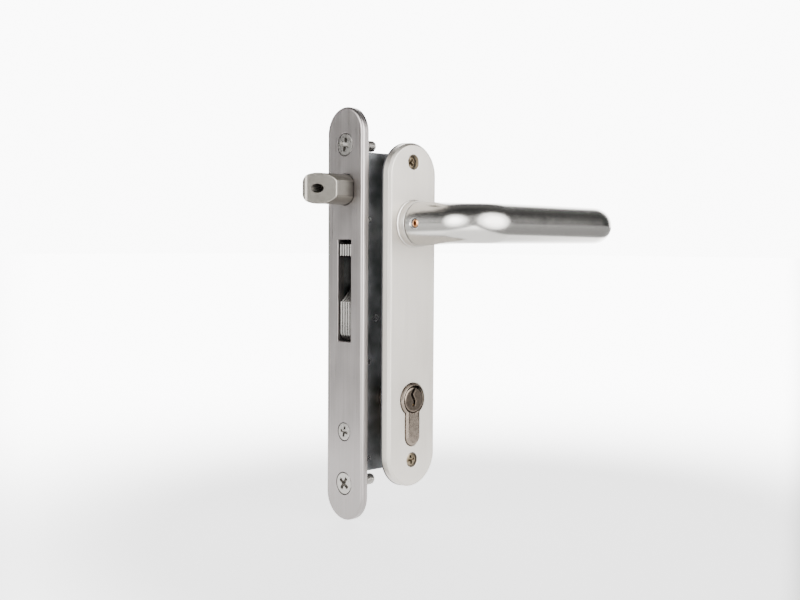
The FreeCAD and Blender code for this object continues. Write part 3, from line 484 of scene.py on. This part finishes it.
def cross_cutter(driver, arm, deep):
    """The driver's cross: four arms that taper to a blunt point, from above the face down."""
    rows = np.array([(0.5 * driver + 0.06, 0.55 * arm, -0.3),
                     (0.45 * driver, 0.46 * arm, 0.5 * deep), (0.22 * driver, 0.4 * arm, deep)])
    far, half, depth = rows[:, 0], rows[:, 1], rows[:, 2]
    near = np.minimum(half, far)
    a = np.stack([far, far, near, near, -near, -near, -far, -far, -near, -near, near, near], 1)
    b = np.stack([-half, half, near, far, far, near, half, -half, -near, -far, -far, -near], 1)
    return a, b, np.broadcast_to(depth[:, None], a.shape)


def thread(radius, pitch, start, stop):
    """A rolled thread: radius = crest - depth of thread x (distance from the crest's helix)."""
    depth = np.arange(start, stop, pitch / 8)
    turn = np.linspace(0, 2 * np.pi, screw_columns, endpoint=False)
    phase = depth[:, None] / pitch - turn / (2 * np.pi)
    wave = 2 * np.abs(phase - np.floor(phase) - 0.5)
    taper = np.clip((stop - depth) / pitch, 0.0, 1.0)[:, None]
    size = radius - 0.55 * pitch * wave**1.3 - 0.5 * pitch * (1 - taper)
    return size * np.cos(turn), size * np.sin(turn), np.broadcast_to(depth[:, None], size.shape)


def cross_screws(name, onto, seats, head, cross, shank):
    """Screws in one piece. A seat holds the middle of a head's face in onto's coordinates, the
    lean of its cross and the thread's end; point = the seat + the screw turned by the lean."""
    grids, cutters = [], []
    for (across, up, face), degrees, stop in seats:
        lean = math.radians(degrees)

        def place(a, b, depth):
            """The screw's own points, turned by its lean and set in its seat."""
            return onto(across + (a * math.cos(lean) - b * math.sin(lean)),
                        up + (a * math.sin(lean) + b * math.cos(lean)), face + depth)

        whole = zip(head, thread(*shank, stop))
        grids.append(place(*[np.concatenate(pair) for pair in whole]))
        cutters.append(skin(place(*cross_cutter(*cross))))
    piece = make_piece(name, skin(*grids), 40.0)
    hollow(piece, *cutters)
    return piece


def gate_screws(name, heights, head, cone, driver, arm, neck_end, radius, pitch, tip):
    """Screws into the gate edge: heads just under the faceplate's face, threads behind it."""
    seats = [((0.0, height, face_front + head_sunk), 12.0 + 23.0 * number, tip - head_sunk)
             for number, height in enumerate(heights)]
    return cross_screws(name, to_gate_edge, seats,
                        screw_head(head, cone, neck_end, radius - 0.55 * pitch),
                        (driver, arm, 0.37 * driver), (radius, pitch, neck_end))


screw_stainless = metal("screw_stainless", (0.315, 0.303, 0.283), (0.24, 0.34),
                        (700.0, 700.0, 700.0), 0.04, 0.015)
big_screws = gate_screws("faceplate_screw_pair", face_screws, head=5.55, cone=2.6, driver=7.4,
                         arm=1.8, neck_end=4.9, radius=3.0, pitch=1.0, tip=20.0)
dress(big_screws, screw_stainless, "case", "screw_steel", "faceplate_screws")
long_screw = gate_screws("cylinder_fixing_screw", (cylinder_screw_z,), head=4.5, cone=2.1,
                         driver=5.7, arm=1.4, neck_end=4.4, radius=2.45, pitch=0.8, tip=30.3)
dress(long_screw, screw_stainless, "case", "screw_steel", "cylinder_screw")

# Latch. A 16 mm round bar of nickel plated steel with two flats and a 45 degree bevel to the
# front, broken at its edges. A screw sits deep in the bore that opens in the bevel.
latch_radius, latch_flat, latch_nose, latch_bevel, latch_tail = 8.0, 7.0, -27.0, -22.8, 1.2
latch_bore, latch_recess, recess_end = 2.35, 4.6, -11.05
edge_share, edge_deep, latch_columns = 0.955, 0.36, 160


def to_bar(across, up, depth):
    """Latch coordinates: across is Y, up is Z, depth is X in millimetres."""
    return np.stack([depth, across, up], -1) * mm


def latch_section(radius, flat, power):
    """A circle with two flats whose corners are eased: the reach is the root of the sum of the
    circle's and the flats' reach, each to a high negative power."""
    turn = np.linspace(0, 2 * np.pi, latch_columns, endpoint=False)
    flat_reach = flat / np.maximum(np.abs(np.cos(turn)), 1e-3)
    reach = (radius**-power + np.minimum(flat_reach, 50.0) ** -power) ** (-1 / power)
    return np.stack([reach * np.cos(turn), reach * np.sin(turn)], 1)


def nose_depth(across):
    """Where the latch ends: flat at the nose, then a 45 degree bevel. The greater of the two
    depths = half their sum + half the root of their squared difference, eased by a constant."""
    slope = latch_bevel - across
    return 0.5 * (slope + latch_nose + np.sqrt((slope - latch_nose) ** 2 + 0.5)) - 0.05


section = latch_section(latch_radius, latch_flat, 60.0)
mouth = section / np.linalg.norm(section, axis=1)[:, None]
share = np.linspace(0.0, 1.0, 26)[:-1, None, None]
lean = np.radians(np.linspace(0, 90, 7))[:, None]
bevel_rings = latch_bore * mouth + (edge_share * section - latch_bore * mouth) * share
round_rings = section * (edge_share + 0.045 * np.sin(lean))[..., None]
front = nose_depth(section[:, 0]) + edge_deep
back = np.linspace(0.0, 1.0, 16)[1:, None]
end_rings = np.stack([0.975 * section, latch_recess * mouth, latch_recess * mouth,
                      latch_bore * mouth, latch_bore * mouth])
rings = np.concatenate([bevel_rings, round_rings, np.repeat(section[None], 15, 0), end_rings])
depth = np.concatenate([nose_depth(bevel_rings[..., 0]),
                        nose_depth(round_rings[..., 0]) + edge_deep * (1 - np.cos(lean)),
                        front + (1.0 - front) * back,
                        np.repeat([[latch_tail], [latch_tail], [recess_end], [recess_end]],
                                  latch_columns, 1),
                        nose_depth(latch_bore * mouth[:, 0])[None] + 0.3])
latch = make_piece("latch_bolt", skin(to_bar(rings[..., 0], latch_z + rings[..., 1], depth),
                                      ring=True), 28.0)


def block(x0, x1, y0, y1, z0, z1):
    """A box between two corners in millimetres."""
    foot = [(x0, y0, z0), (x1, y0, z0), (x1, y1, z0), (x0, y1, z0)]
    head = [(x0, y0, z1), (x1, y0, z1), (x1, y1, z1), (x0, y1, z1)]
    return skin(np.array([foot, head]) * mm)


fork_slot = (-2.8, 3.0, -2.5, 2.5, 5.0, 30.0)
hollow(latch, block(*fork_slot))
bright_nickel = metal("bright_nickel", (0.18, 0.169, 0.149), (0.28, 0.38),
                      (300.0, 900.0, 900.0), 0.03, 0.012)
dress(latch, bright_nickel, "latch", "latch_steel", "latch_head")


def face_values(piece, field):
    """One vector for each face, such as its middle in metres or its normal."""
    values = np.empty(len(piece.data.polygons) * 3)
    piece.data.polygons.foreach_get(field, values)
    return values.reshape(-1, 3)


def refinish(piece, finish, chosen):
    """Give the chosen faces a finish of their own."""
    finishes = np.empty(len(piece.data.polygons), np.int32)
    piece.data.polygons.foreach_get("material_index", finishes)
    finishes[chosen] = len(piece.data.materials)
    piece.data.materials.append(finish)
    piece.data.polygons.foreach_set("material_index", finishes)


def line_bore(piece, finish, height, across, radius):
    """Refinish the faces whose middles lie within a radius of an axis along X."""
    middles = face_values(piece, "center") / mm
    refinish(piece, finish, np.hypot(middles[:, 1] - across, middles[:, 2] - height) < radius)


# The latch's two flats take a darker copy of its nickel, half as bright: painted shade on its flat
# sides.
painted_shade_nickel = metal("painted_shade_nickel", (0.085, 0.079, 0.070), (0.28, 0.38),
                      (300.0, 900.0, 900.0), 0.03, 0.012)
refinish(latch, painted_shade_nickel, np.abs(face_values(latch, "normal")[:, 1]) > 0.95)
# The bore's wall and the screw end in it take a steel far brighter than the latch's nickel: painted
# light in the bore.
steel_with_painted_light = metal("steel_with_painted_light", (0.62, 0.60, 0.57), (0.22, 0.34),
                    (700.0, 700.0, 700.0), 0.04, 0.02)
line_bore(latch, steel_with_painted_light, latch_z, 0.0, latch_bore - 0.02)

# Latch screw. The end of the steel screw on the latch axis, domed and with a small socket, shows in
# the bore with painted light, and sets how far the latch stands out.
dome = [(0.02, -13.2), (0.45, -13.2), (0.55, -14.2), (0.7, -14.6), (1.3, -14.5),
        (1.9, -14.1), (2.2, -13.4), (2.28, -12.5), (2.28, -11.1)]
a, b, depth = turned_points(dome, 48)
latch_screw = make_piece("latch_set_screw", skin(to_bar(a, latch_z + b, depth)))
dress(latch_screw, steel_with_painted_light, "latch", "screw_steel", "latch_adjusting_screw")

# Swing hook. Five punched stainless plates 1.95 mm thick, side by side on the pivot pin.
# Their edges are rounded by the punch, so grooves run between them along the pack's rim.
pivot, pivot_hole = (10.0, -49.5), 3.08
swing, hub, plate_count, plate_thick = 41.0, 15.8, 5, 1.95
beak_x, beak_deep, beak_round = -3.8, 6.1, 5.0
spine_x, spine_out, front_x = 8.0, 20.0, -3.3
throat_z, throat_round = -33.0, 2.4
pin_holes = ((17.17, -56.67, 2.0), (16.25, -29.0, 1.5), (11.75, -14.6, 1.5))


def rise(radius, x):
    """How far a circle about the pivot stands above it at x: the root of the radius squared
    less the distance squared."""
    return math.sqrt(radius**2 - (x - pivot[0]) ** 2)


def bearing(radius, x, side=1.0):
    """The direction from the pivot to a circle about it at x, in degrees, above or below."""
    return math.degrees(math.atan2(side * rise(radius, x), x - pivot[0]))


beak_foot = pivot[1] + rise(swing, beak_x) - beak_deep
hook_loop = np.concatenate([
    arc(pivot, swing, bearing(swing, beak_x), bearing(swing, spine_out), 24),
    arc(pivot, hub, bearing(hub, spine_out), bearing(hub, front_x, -1.0), 48),
    [(front_x, -41.0), (5.4, throat_z)],
    arc((spine_x - throat_round, throat_z + throat_round), throat_round, 270, 360, 8)[1:],
    arc((spine_x - beak_round, beak_foot - beak_round), beak_round, 0, 90, 12),
    [(beak_x, beak_foot)],
])[::-1]


def to_side(start):
    """Hook coordinates for the plate that starts at a Y: the outline lies in X and Z."""
    def onto(along, up, depth):
        """Along is X, up is Z, depth is Y from the plate's start."""
        return np.stack([along, start + depth, up], -1) * mm
    return onto


punched = [(-1.1, 0.02), (-0.75, 0.06), (-0.42, 0.2), (-0.18, 0.4), (-0.04, 0.7), (0.0, 1.0),
           (-0.04, 1.3), (-0.18, 1.57), (-0.42, 1.76), (-0.75, plate_thick - 0.06),
           (-1.1, plate_thick - 0.02)]
punched_hole = [(0.1, 0.0), (0.0, 0.12), (0.0, plate_thick)]
hook_rims = [(hook_loop, punched), (circle(pivot, pivot_hole, 40), punched_hole)]
for x, z, radius in pin_holes:
    hook_rims.append((circle((x, z), radius, 32), punched_hole))
hook_stainless = metal("hook_stainless", (0.135, 0.13, 0.122), (0.24, 0.34),
                       (500.0, 120.0, 500.0), 0.04, 0.02)
for number in range(plate_count):
    start = -plate_count * plate_thick / 2 + number * plate_thick
    leaf = pierced_plate(f"hook_leaf_{number + 1}", hook_rims, to_side(start))
    if number:
        dress(leaf, hook_stainless, "hook", "latch_steel")
    else:
        dress(leaf, hook_stainless, "hook", "latch_steel", "hook_plates")

# Lever plate. A satin anodised aluminium plate 34 by 180 by 5 mm with full round ends and a
# milled bevel all round, sunk for two screws and pierced for the cylinder and the lever.
plate_front, plate_back = -25.6, -20.6
plate_half, plate_mid, plate_long, bevel = 17.0, -48.0, 90.0, 1.25
lever_axis, bearing_hole = 21.0, 9.38
cylinder_centre = (21.0, -92.0)
sunk_places, sunk_mouth, sunk_head = ((32.0, 2.6), (-124.0, 0.8)), 3.9, 2.2


def to_gate_front(along, up, depth):
    """Lever plate coordinates: along is X, up is Z, depth is Y."""
    return np.stack([along, depth, up], -1) * mm


def euro_loop(grow, head=8.5, web=5.0, high=33.0):
    """The keyhole outline of a euro profile cylinder, grown by a clearance."""
    big, small = head + grow, web + grow
    foot = cylinder_centre[1] + head - high + web
    lean = math.degrees(math.asin(small / big))
    top = arc(cylinder_centre, big, -90 + lean, 270 - lean, 72)
    base = arc((cylinder_centre[0], foot), small, 180, 360, 32)
    return np.concatenate([top, base])


plate_profile = [(-bevel - 0.7, plate_front), (-bevel - 0.12, plate_front),
                 (-bevel + 0.04, plate_front + 0.04), (-0.06, plate_front + bevel - 0.06),
                 (0.0, plate_front + bevel + 0.1), (0.0, plate_back - 0.2), (-0.15, plate_back)]
plain_hole = [(0.15, plate_front), (0.0, plate_front + 0.15), (0.0, plate_back)]
plate_rims = [(stadium(lever_axis, plate_mid, plate_half, plate_long, 64), plate_profile),
              (euro_loop(0.3), plain_hole),
              (circle((lever_axis, 0.0), bearing_hole, 64), plain_hole)]
for height, sink in sunk_places:
    seat = plate_front + sink + sunk_head
    plate_rims.append((circle((lever_axis, height), sunk_mouth, 48),
                       [(0.25, plate_front), (0.1, plate_front + 0.06),
                        (0.0, plate_front + 0.22), (0.0, seat), (-1.2, seat),
                        (-1.2, plate_back)]))
lever_plate = pierced_plate("lever_back_plate", plate_rims, to_gate_front)
satin_aluminium = metal("satin_aluminium", (0.51, 0.478, 0.432), (0.34, 0.46),
                        (1400.0, 1400.0, 30.0), 0.035, 0.06)
dress(lever_plate, satin_aluminium, "case", "plate_aluminium", "lever_plate")

# Dark sheet. A thin black sheet between plate and gate, cut a hair larger than the plate,
# so its dark edge shows round the plate.
gate_front, sheet_over = -20.0, 0.2
sheet_rims = [(stadium(lever_axis, plate_mid, plate_half + sheet_over,
                        plate_long + sheet_over, 64),
                [(-0.1, plate_back), (0.0, plate_back + 0.1),
                 (0.0, gate_front - 0.1), (-0.1, gate_front)])]
for loop, profile in plate_rims[1:]:
    grow = profile[-1][0]
    sheet_rims.append((loop, [(grow, plate_back), (grow, gate_front)]))
dark_sheet = pierced_plate("plate_dark_sheet", sheet_rims, to_gate_front)


def dull(name, colour, rough, scale, contrast, bump):
    """A matt moulded surface: fine noise drives its shade, roughness and relief."""
    finish, tree, place = new_finish(name)
    grain = noise(tree, place, scale, 5.0)
    give_surface(tree, colour, spread(tree, grain, 0.0, 1.0, 1.0 - contrast, 1.0 + contrast),
                 spread(tree, grain, 0.0, 1.0, rough - 0.08, rough + 0.08), grain, bump, 0.00008)
    return finish


black_sheet_and_painted_shade = dull("black_sheet_and_painted_shade", (0.022, 0.023, 0.025), 0.75, 2500.0, 0.2, 0.15)
dress(dark_sheet, black_sheet_and_painted_shade, "case", "gasket_rubber", "plate_gasket")

# Plate screws. Two M5 screws with round cross heads, sunk in the plate: the upper one deep,
# the lower one nearly flush. They pull the plate to the threaded bushes in the case.
bush_end = -5.7
seats = [((lever_axis, height, plate_front + sink), degrees, bush_end - plate_front - sink)
         for (height, sink), degrees in zip(sunk_places, (45.0, 8.0))]
sunk_screws = cross_screws("sunk_plate_screws", to_gate_front, seats,
                           screw_head(3.45, 0.4, 2.15, 3.4, 0.5), (4.7, 1.2, 1.7),
                           (2.45, 0.8, 2.2))
# The screws' dark brown is partly their own colour and partly painted shade of the holes they sit
# in.
brown_screw_and_painted_shade = metal("brown_screw_and_painted_shade", (0.16, 0.13, 0.09), (0.24, 0.36),
                   (700.0, 700.0, 700.0), 0.06, 0.02)
dress(sunk_screws, brown_screw_and_painted_shade, "case", "screw_steel", "plate_screws")

# Collar. A turned aluminium ring on the plate, with a thin flange at its foot and an eased
# front edge. The lever's neck turns against it with a narrow seam.
collar_profile = [(9.4, -30.5), (11.6, -30.5), (11.82, -30.44), (11.9, -30.25), (11.95, -26.75),
                  (12.0, -26.55), (12.2, -26.42), (12.38, -26.36), (12.45, -26.25),
                  (12.45, -25.75), (12.35, -25.62), (9.4, -25.62)]
a, b, depth = turned_points(collar_profile, 128)
collar = make_piece("lever_collar", skin(to_gate_front(lever_axis + a, b, depth), ring=True))
turned_aluminium = metal("turned_aluminium", (0.47, 0.45, 0.42), (0.28, 0.4),
                         (300.0, 2500.0, 300.0), 0.05, 0.05)
dress(collar, turned_aluminium, "case", "lever_aluminium", "handle_collar")

# Lever. A round aluminium bar, bent tightly after a flared neck, straight along the gate, and
# turned back to it at its end. It is ground with fine grit along its length and anodised.
neck_y, grip_y, spigot_y, seat_y = -30.85, -70.1, -20.6, -31.65
inner_bend, outer_bend, straight_end, stub_y = 14.0, 16.0, 111.0, -38.0
bar_radius, neck_flare, flare_power, end_taper = 10.2, 1.3, 1.35, 0.4
spindle_hole, spigot_radius, seat_radius = 4.0, 8.0, 9.5
neck_round, tip_round, bar_rows, bar_columns = 0.4, 2.0, 230, 96
bend_from = grip_y + inner_bend
runs = np.cumsum([0.0, neck_y - bend_from, inner_bend * np.pi / 2,
                  straight_end - lever_axis - inner_bend,
                  outer_bend * np.pi / 2, stub_y - grip_y - outer_bend])
bar_length = runs[-1]


def lever_path(far):
    """The lever's centre line by distance along it: neck, quarter turn, straight, quarter turn
    and stub. The radius swells towards the neck and thins a little along the straight.
    Returns X, Y, the heading angle and the radius."""
    part = [np.clip(far - low, 0, high - low) for low, high in zip(runs, runs[1:])]
    first, second = part[1] / inner_bend, part[3] / outer_bend
    heading = -np.pi / 2 + first + second
    x = lever_axis + inner_bend * (1 - np.cos(first)) + part[2] + outer_bend * np.sin(second)
    y = neck_y - part[0] - inner_bend * np.sin(first) + outer_bend * (1 - np.cos(second)) + part[4]
    flare = np.clip(1 - far / (runs[1] * 1.35), 0, 1)
    thin = np.clip((far - runs[2]) / (runs[3] - runs[2]), 0, 1)
    return x, y, heading, bar_radius + neck_flare * flare**flare_power - end_taper * thin


def bar_rings(far, shrink):
    """Circles square to the centre line at distances along it, each a little under the bar's
    radius where its edge is rounded."""
    x, y, heading, radius = lever_path(far)
    turn = np.linspace(0, 2 * np.pi, bar_columns, endpoint=False)
    side = (radius - shrink)[:, None] * np.cos(turn)
    up = (radius - shrink)[:, None] * np.sin(turn)
    px = x[:, None] - side * np.sin(heading)[:, None]
    py = y[:, None] + side * np.cos(heading)[:, None]
    return np.stack([px, py, up], -1) * mm


lean = np.radians(np.linspace(0, 90, 8))
far = np.concatenate([neck_round * (1 - np.cos(lean)),
                      np.linspace(0.6, bar_length - tip_round - 0.2, bar_rows),
                      bar_length - tip_round * (1 - np.sin(lean))])
shrink = np.concatenate([neck_round * (1 - np.sin(lean)), np.zeros(bar_rows),
                         tip_round * (1 - np.cos(lean))])
a, b, depth = turned_points([(spindle_hole, spigot_y), (spigot_radius, spigot_y),
                             (spigot_radius, seat_y), (seat_radius, seat_y),
                             (seat_radius, neck_y)], bar_columns)
spigot = to_gate_front(lever_axis + a, b, depth)
lever = make_piece("lever_bar", skin(np.concatenate([spigot, bar_rings(far, shrink)])))
screw_height = -37.5


def to_neck_side(a, b, depth):
    """Set screw coordinates: the axis runs along X through the neck."""
    return np.stack([depth, screw_height + a, b], -1) * mm


a, b, depth = turned_points([(0.02, 17.2), (3.04, 17.2), (3.04, 10.2), (3.5, 9.55),
                             (4.4, 8.4), (4.4, 6.0), (0.02, 6.0)])
hollow(lever, skin(to_neck_side(a, b, depth)))
ground_aluminium = metal("ground_aluminium", (0.43, 0.418, 0.395), (0.17, 0.25),
                         (500.0, 1500.0, 1500.0), 0.05, 0.04)
dress(lever, ground_aluminium, "lever", "lever_aluminium", "lever_handle")

# Set screw. An M6 socket set screw in the neck that bites the spindle: a near white rim, partly
# bright steel and partly painted highlight, a ring painted black as shade, and a domed brass
# coloured end with a small hexagon socket.
screw_end, dome_radius, dome_high = 10.65, 2.05, 0.45
socket_half, socket_deep, socket_edge = 1.05, 1.6, 0.12
reach = np.concatenate([np.linspace(0.02, dome_radius, 44), [2.12, 2.62, 2.68, 2.95, 3.0, 3.0]])
sunk = np.concatenate([-dome_high * (1 - (reach[:44] / dome_radius) ** 2),
                       [0.15, 0.15, -0.4, -0.4, -0.3, 6.3]])
a, b, depth = turned_points(np.stack([reach, screw_end + sunk], 1), 96)
six = np.max(np.abs([a * math.cos(t) + b * math.sin(t) for t in np.radians((0, 60, 120))]), axis=0)
depth = depth + socket_deep * np.clip((socket_half - six) / socket_edge, 0, 1)
set_screw = make_piece("lever_set_screw", skin(to_neck_side(a, b, depth)))
bright_steel_and_painted_highlight = metal("bright_steel_and_painted_highlight", (0.80, 0.78, 0.75), (0.2, 0.3),
                   (700.0, 700.0, 700.0), 0.04, 0.015)
brass_screw = metal("brass_screw", (0.36, 0.18, 0.08), (0.2, 0.3),
                    (700.0, 700.0, 700.0), 0.05, 0.02)
dress(set_screw, bright_steel_and_painted_highlight, "lever", "screw_steel", "handle_set_screw")
# The ring round the end takes the black sheet's finish: painted shade between rim and end.
line_bore(set_screw, black_sheet_and_painted_shade, 0.0, screw_height, 2.64)
line_bore(set_screw, brass_screw, 0.0, screw_height, 2.08)

# Cylinder. A nickel plated brass profile cylinder with bevelled ends, bored for its plugs and
# milled open in the middle for the cam. A shallow ring groove runs round the plug.
plug_bore, cam_room, cam_half, pin_bore = 6.68, 14.8, 5.1, 1.35
profile_rows = [(-1.7, -27.0), (-1.05, -27.0), (-0.9, -26.95), (-0.12, -26.15), (0.0, -25.95),
                (0.0, 25.95), (-0.12, 26.15), (-0.9, 26.95), (-1.05, 27.0), (-1.7, 27.0)]
groove_rows = [(0.75, -27.0), (0.55, -26.92), (0.3, -26.55), (0.06, -26.35), (0.0, -26.2),
               (0.0, 26.2), (0.06, 26.35), (0.3, 26.55), (0.55, 26.92), (0.75, 27.0)]
cylinder_rims = [(euro_loop(0.0), profile_rows),
                 (circle(cylinder_centre, plug_bore, 96), groove_rows)]
cylinder = pierced_plate("profile_cylinder", cylinder_rims, to_gate_front)
a, b, depth = turned_points([(0.02, -cam_half), (cam_room, -cam_half),
                             (cam_room, cam_half), (0.02, cam_half)])
cam_space = skin(to_gate_front(cylinder_centre[0] + a, cylinder_centre[1] + b, depth))
a, b, depth = turned_points([(0.02, 14.0), (2.5, 14.0), (2.5, 28.0), (0.02, 28.0)], 48)
screw_hole = skin(np.stack([depth, a, cylinder_screw_z + b], -1) * mm)
chambers = np.linspace(7.675, 24.05, 5)


def bores(places, low, high):
    """Round cutters along Z for the tumbler pins, between two heights from the plug's axis."""
    a, b, depth = turned_points([(0.02, low), (pin_bore, low), (pin_bore, high), (0.02, high)], 40)
    x, z = cylinder_centre
    return skin(*[np.stack([x + a, y + b, z + depth], -1) * mm for y in places])


hollow(cylinder, cam_space, screw_hole, bores(chambers, -26.0, -3.0), bores(-chambers, -26.0, -3.0))
brown_nickel = metal("brown_nickel", (0.185, 0.153, 0.125), (0.22, 0.34),
                     (600.0, 600.0, 600.0), 0.07, 0.05)
dress(cylinder, brown_nickel, "case", "cylinder_nickel", "cylinder_body")

# Key plugs. Turned brass, nickel plated, each with a winding keyway sawn along it whose mouth
# is bevelled to guide the key. They are held by clips beside the cam.
plug_radius, half_key = 6.6, 0.62
heights = np.array([5.6, 4.2, 2.9, 1.0, -0.9, -2.0, -3.2])
sways = np.array([0.35, -0.5, -1.35, -0.3, 0.75, 0.5, -0.2])
fine = np.linspace(heights[0], heights[-1], 25)
sway = np.interp(fine, heights[::-1], sways[::-1])
left = np.stack([cylinder_centre[0] + sway - half_key, cylinder_centre[1] + fine], 1)
right = np.stack([cylinder_centre[0] + sway + half_key, cylinder_centre[1] + fine], 1)
key_loop = np.concatenate([left, right[::-1]])
plug_shine = metal("plug_shine", (0.115, 0.093, 0.074), (0.14, 0.26),
                   (700.0, 700.0, 700.0), 0.06, 0.05)


def key_plug(name, side):
    """A plug seen from its outer end: its rim is bevelled, its keyway runs right through."""
    outer = [(-0.75, -26.98), (-0.45, -26.93), (-0.12, -26.72), (0.0, -26.45),
             (0.0, -cam_half), (-0.7, -5.05), (-0.7, -0.1)]
    mouth = [(0.42, -26.98), (0.16, -26.75), (0.0, -26.45), (0.0, -0.1)]
    rims = [(circle(cylinder_centre, plug_radius, 96), [(grow, -side * y) for grow, y in outer]),
            (key_loop, [(grow, -side * y) for grow, y in mouth])]
    piece = pierced_plate(name, rims, to_gate_front)
    hollow(piece, bores(side * chambers, -7.5, -1.4))
    return piece


dress(key_plug("front_key_plug", -1.0), plug_shine, "front_key_plug", "plug_nickel", "front_plug")
dress(key_plug("rear_key_plug", 1.0), plug_shine, "rear_key_plug", "plug_nickel", "rear_plug")

# Case. Tray and cover are bent from galvanised sheet, so they keep a mottled zinc bloom.
# Rivets hold them together. Both stay as the frame has them, and only take this finish.


def finish_nodes(finish, *names):
    """Put a finish on every slot of nodes that stay as they are."""
    for name in names:
        for slot in nodes[name].material_slots:
            slot.material = finish


zinc = metal("zinc_sheet", (0.20, 0.205, 0.21), (0.34, 0.55), (120.0, 120.0, 120.0), 0.22, 0.12)
finish_nodes(zinc, "case_tray", "case_cover")

# Works of the lock. Hub, fork, slide and cam are pressed or cast steel, passivated with a
# faint yellow tone; pins and rivets are turned and bright; the coils are drawn wire.
pressed_steel = metal("pressed_steel", (0.40, 0.37, 0.31), (0.3, 0.48),
                      (400.0, 400.0, 60.0), 0.14, 0.12)
turned_steel = metal("turned_steel", (0.52, 0.52, 0.52), (0.2, 0.34),
                     (500.0, 2500.0, 500.0), 0.08, 0.08)
drawn_wire = metal("drawn_wire", (0.32, 0.31, 0.30), (0.22, 0.36),
                   (1500.0, 1500.0, 1500.0), 0.1, 0.08)
pin_brass = metal("pin_brass", (0.62, 0.44, 0.20), (0.2, 0.34),
                  (900.0, 900.0, 2500.0), 0.08, 0.08)
bush_plastic = dull("bush_plastic", (0.03, 0.03, 0.032), 0.45, 1800.0, 0.15, 0.08)
finish_nodes(pressed_steel, "latch_carrier", "follower", "drive_slide", "cylinder_cam")
finish_nodes(turned_steel, "case_rivets", "plate_screw_bushes", "hook_pivot_pin", "hook_rivets",
             "hook_drive_pin", "slide_guide_pins", "square_spindle")
finish_nodes(drawn_wire, "follower_spring", "latch_spring", "front_circlip", "rear_circlip")
finish_nodes(pin_brass, "front_key_pins", "rear_key_pins", "driver_pins", "chamber_plugs")
finish_nodes(bush_plastic, "handle_bearing")
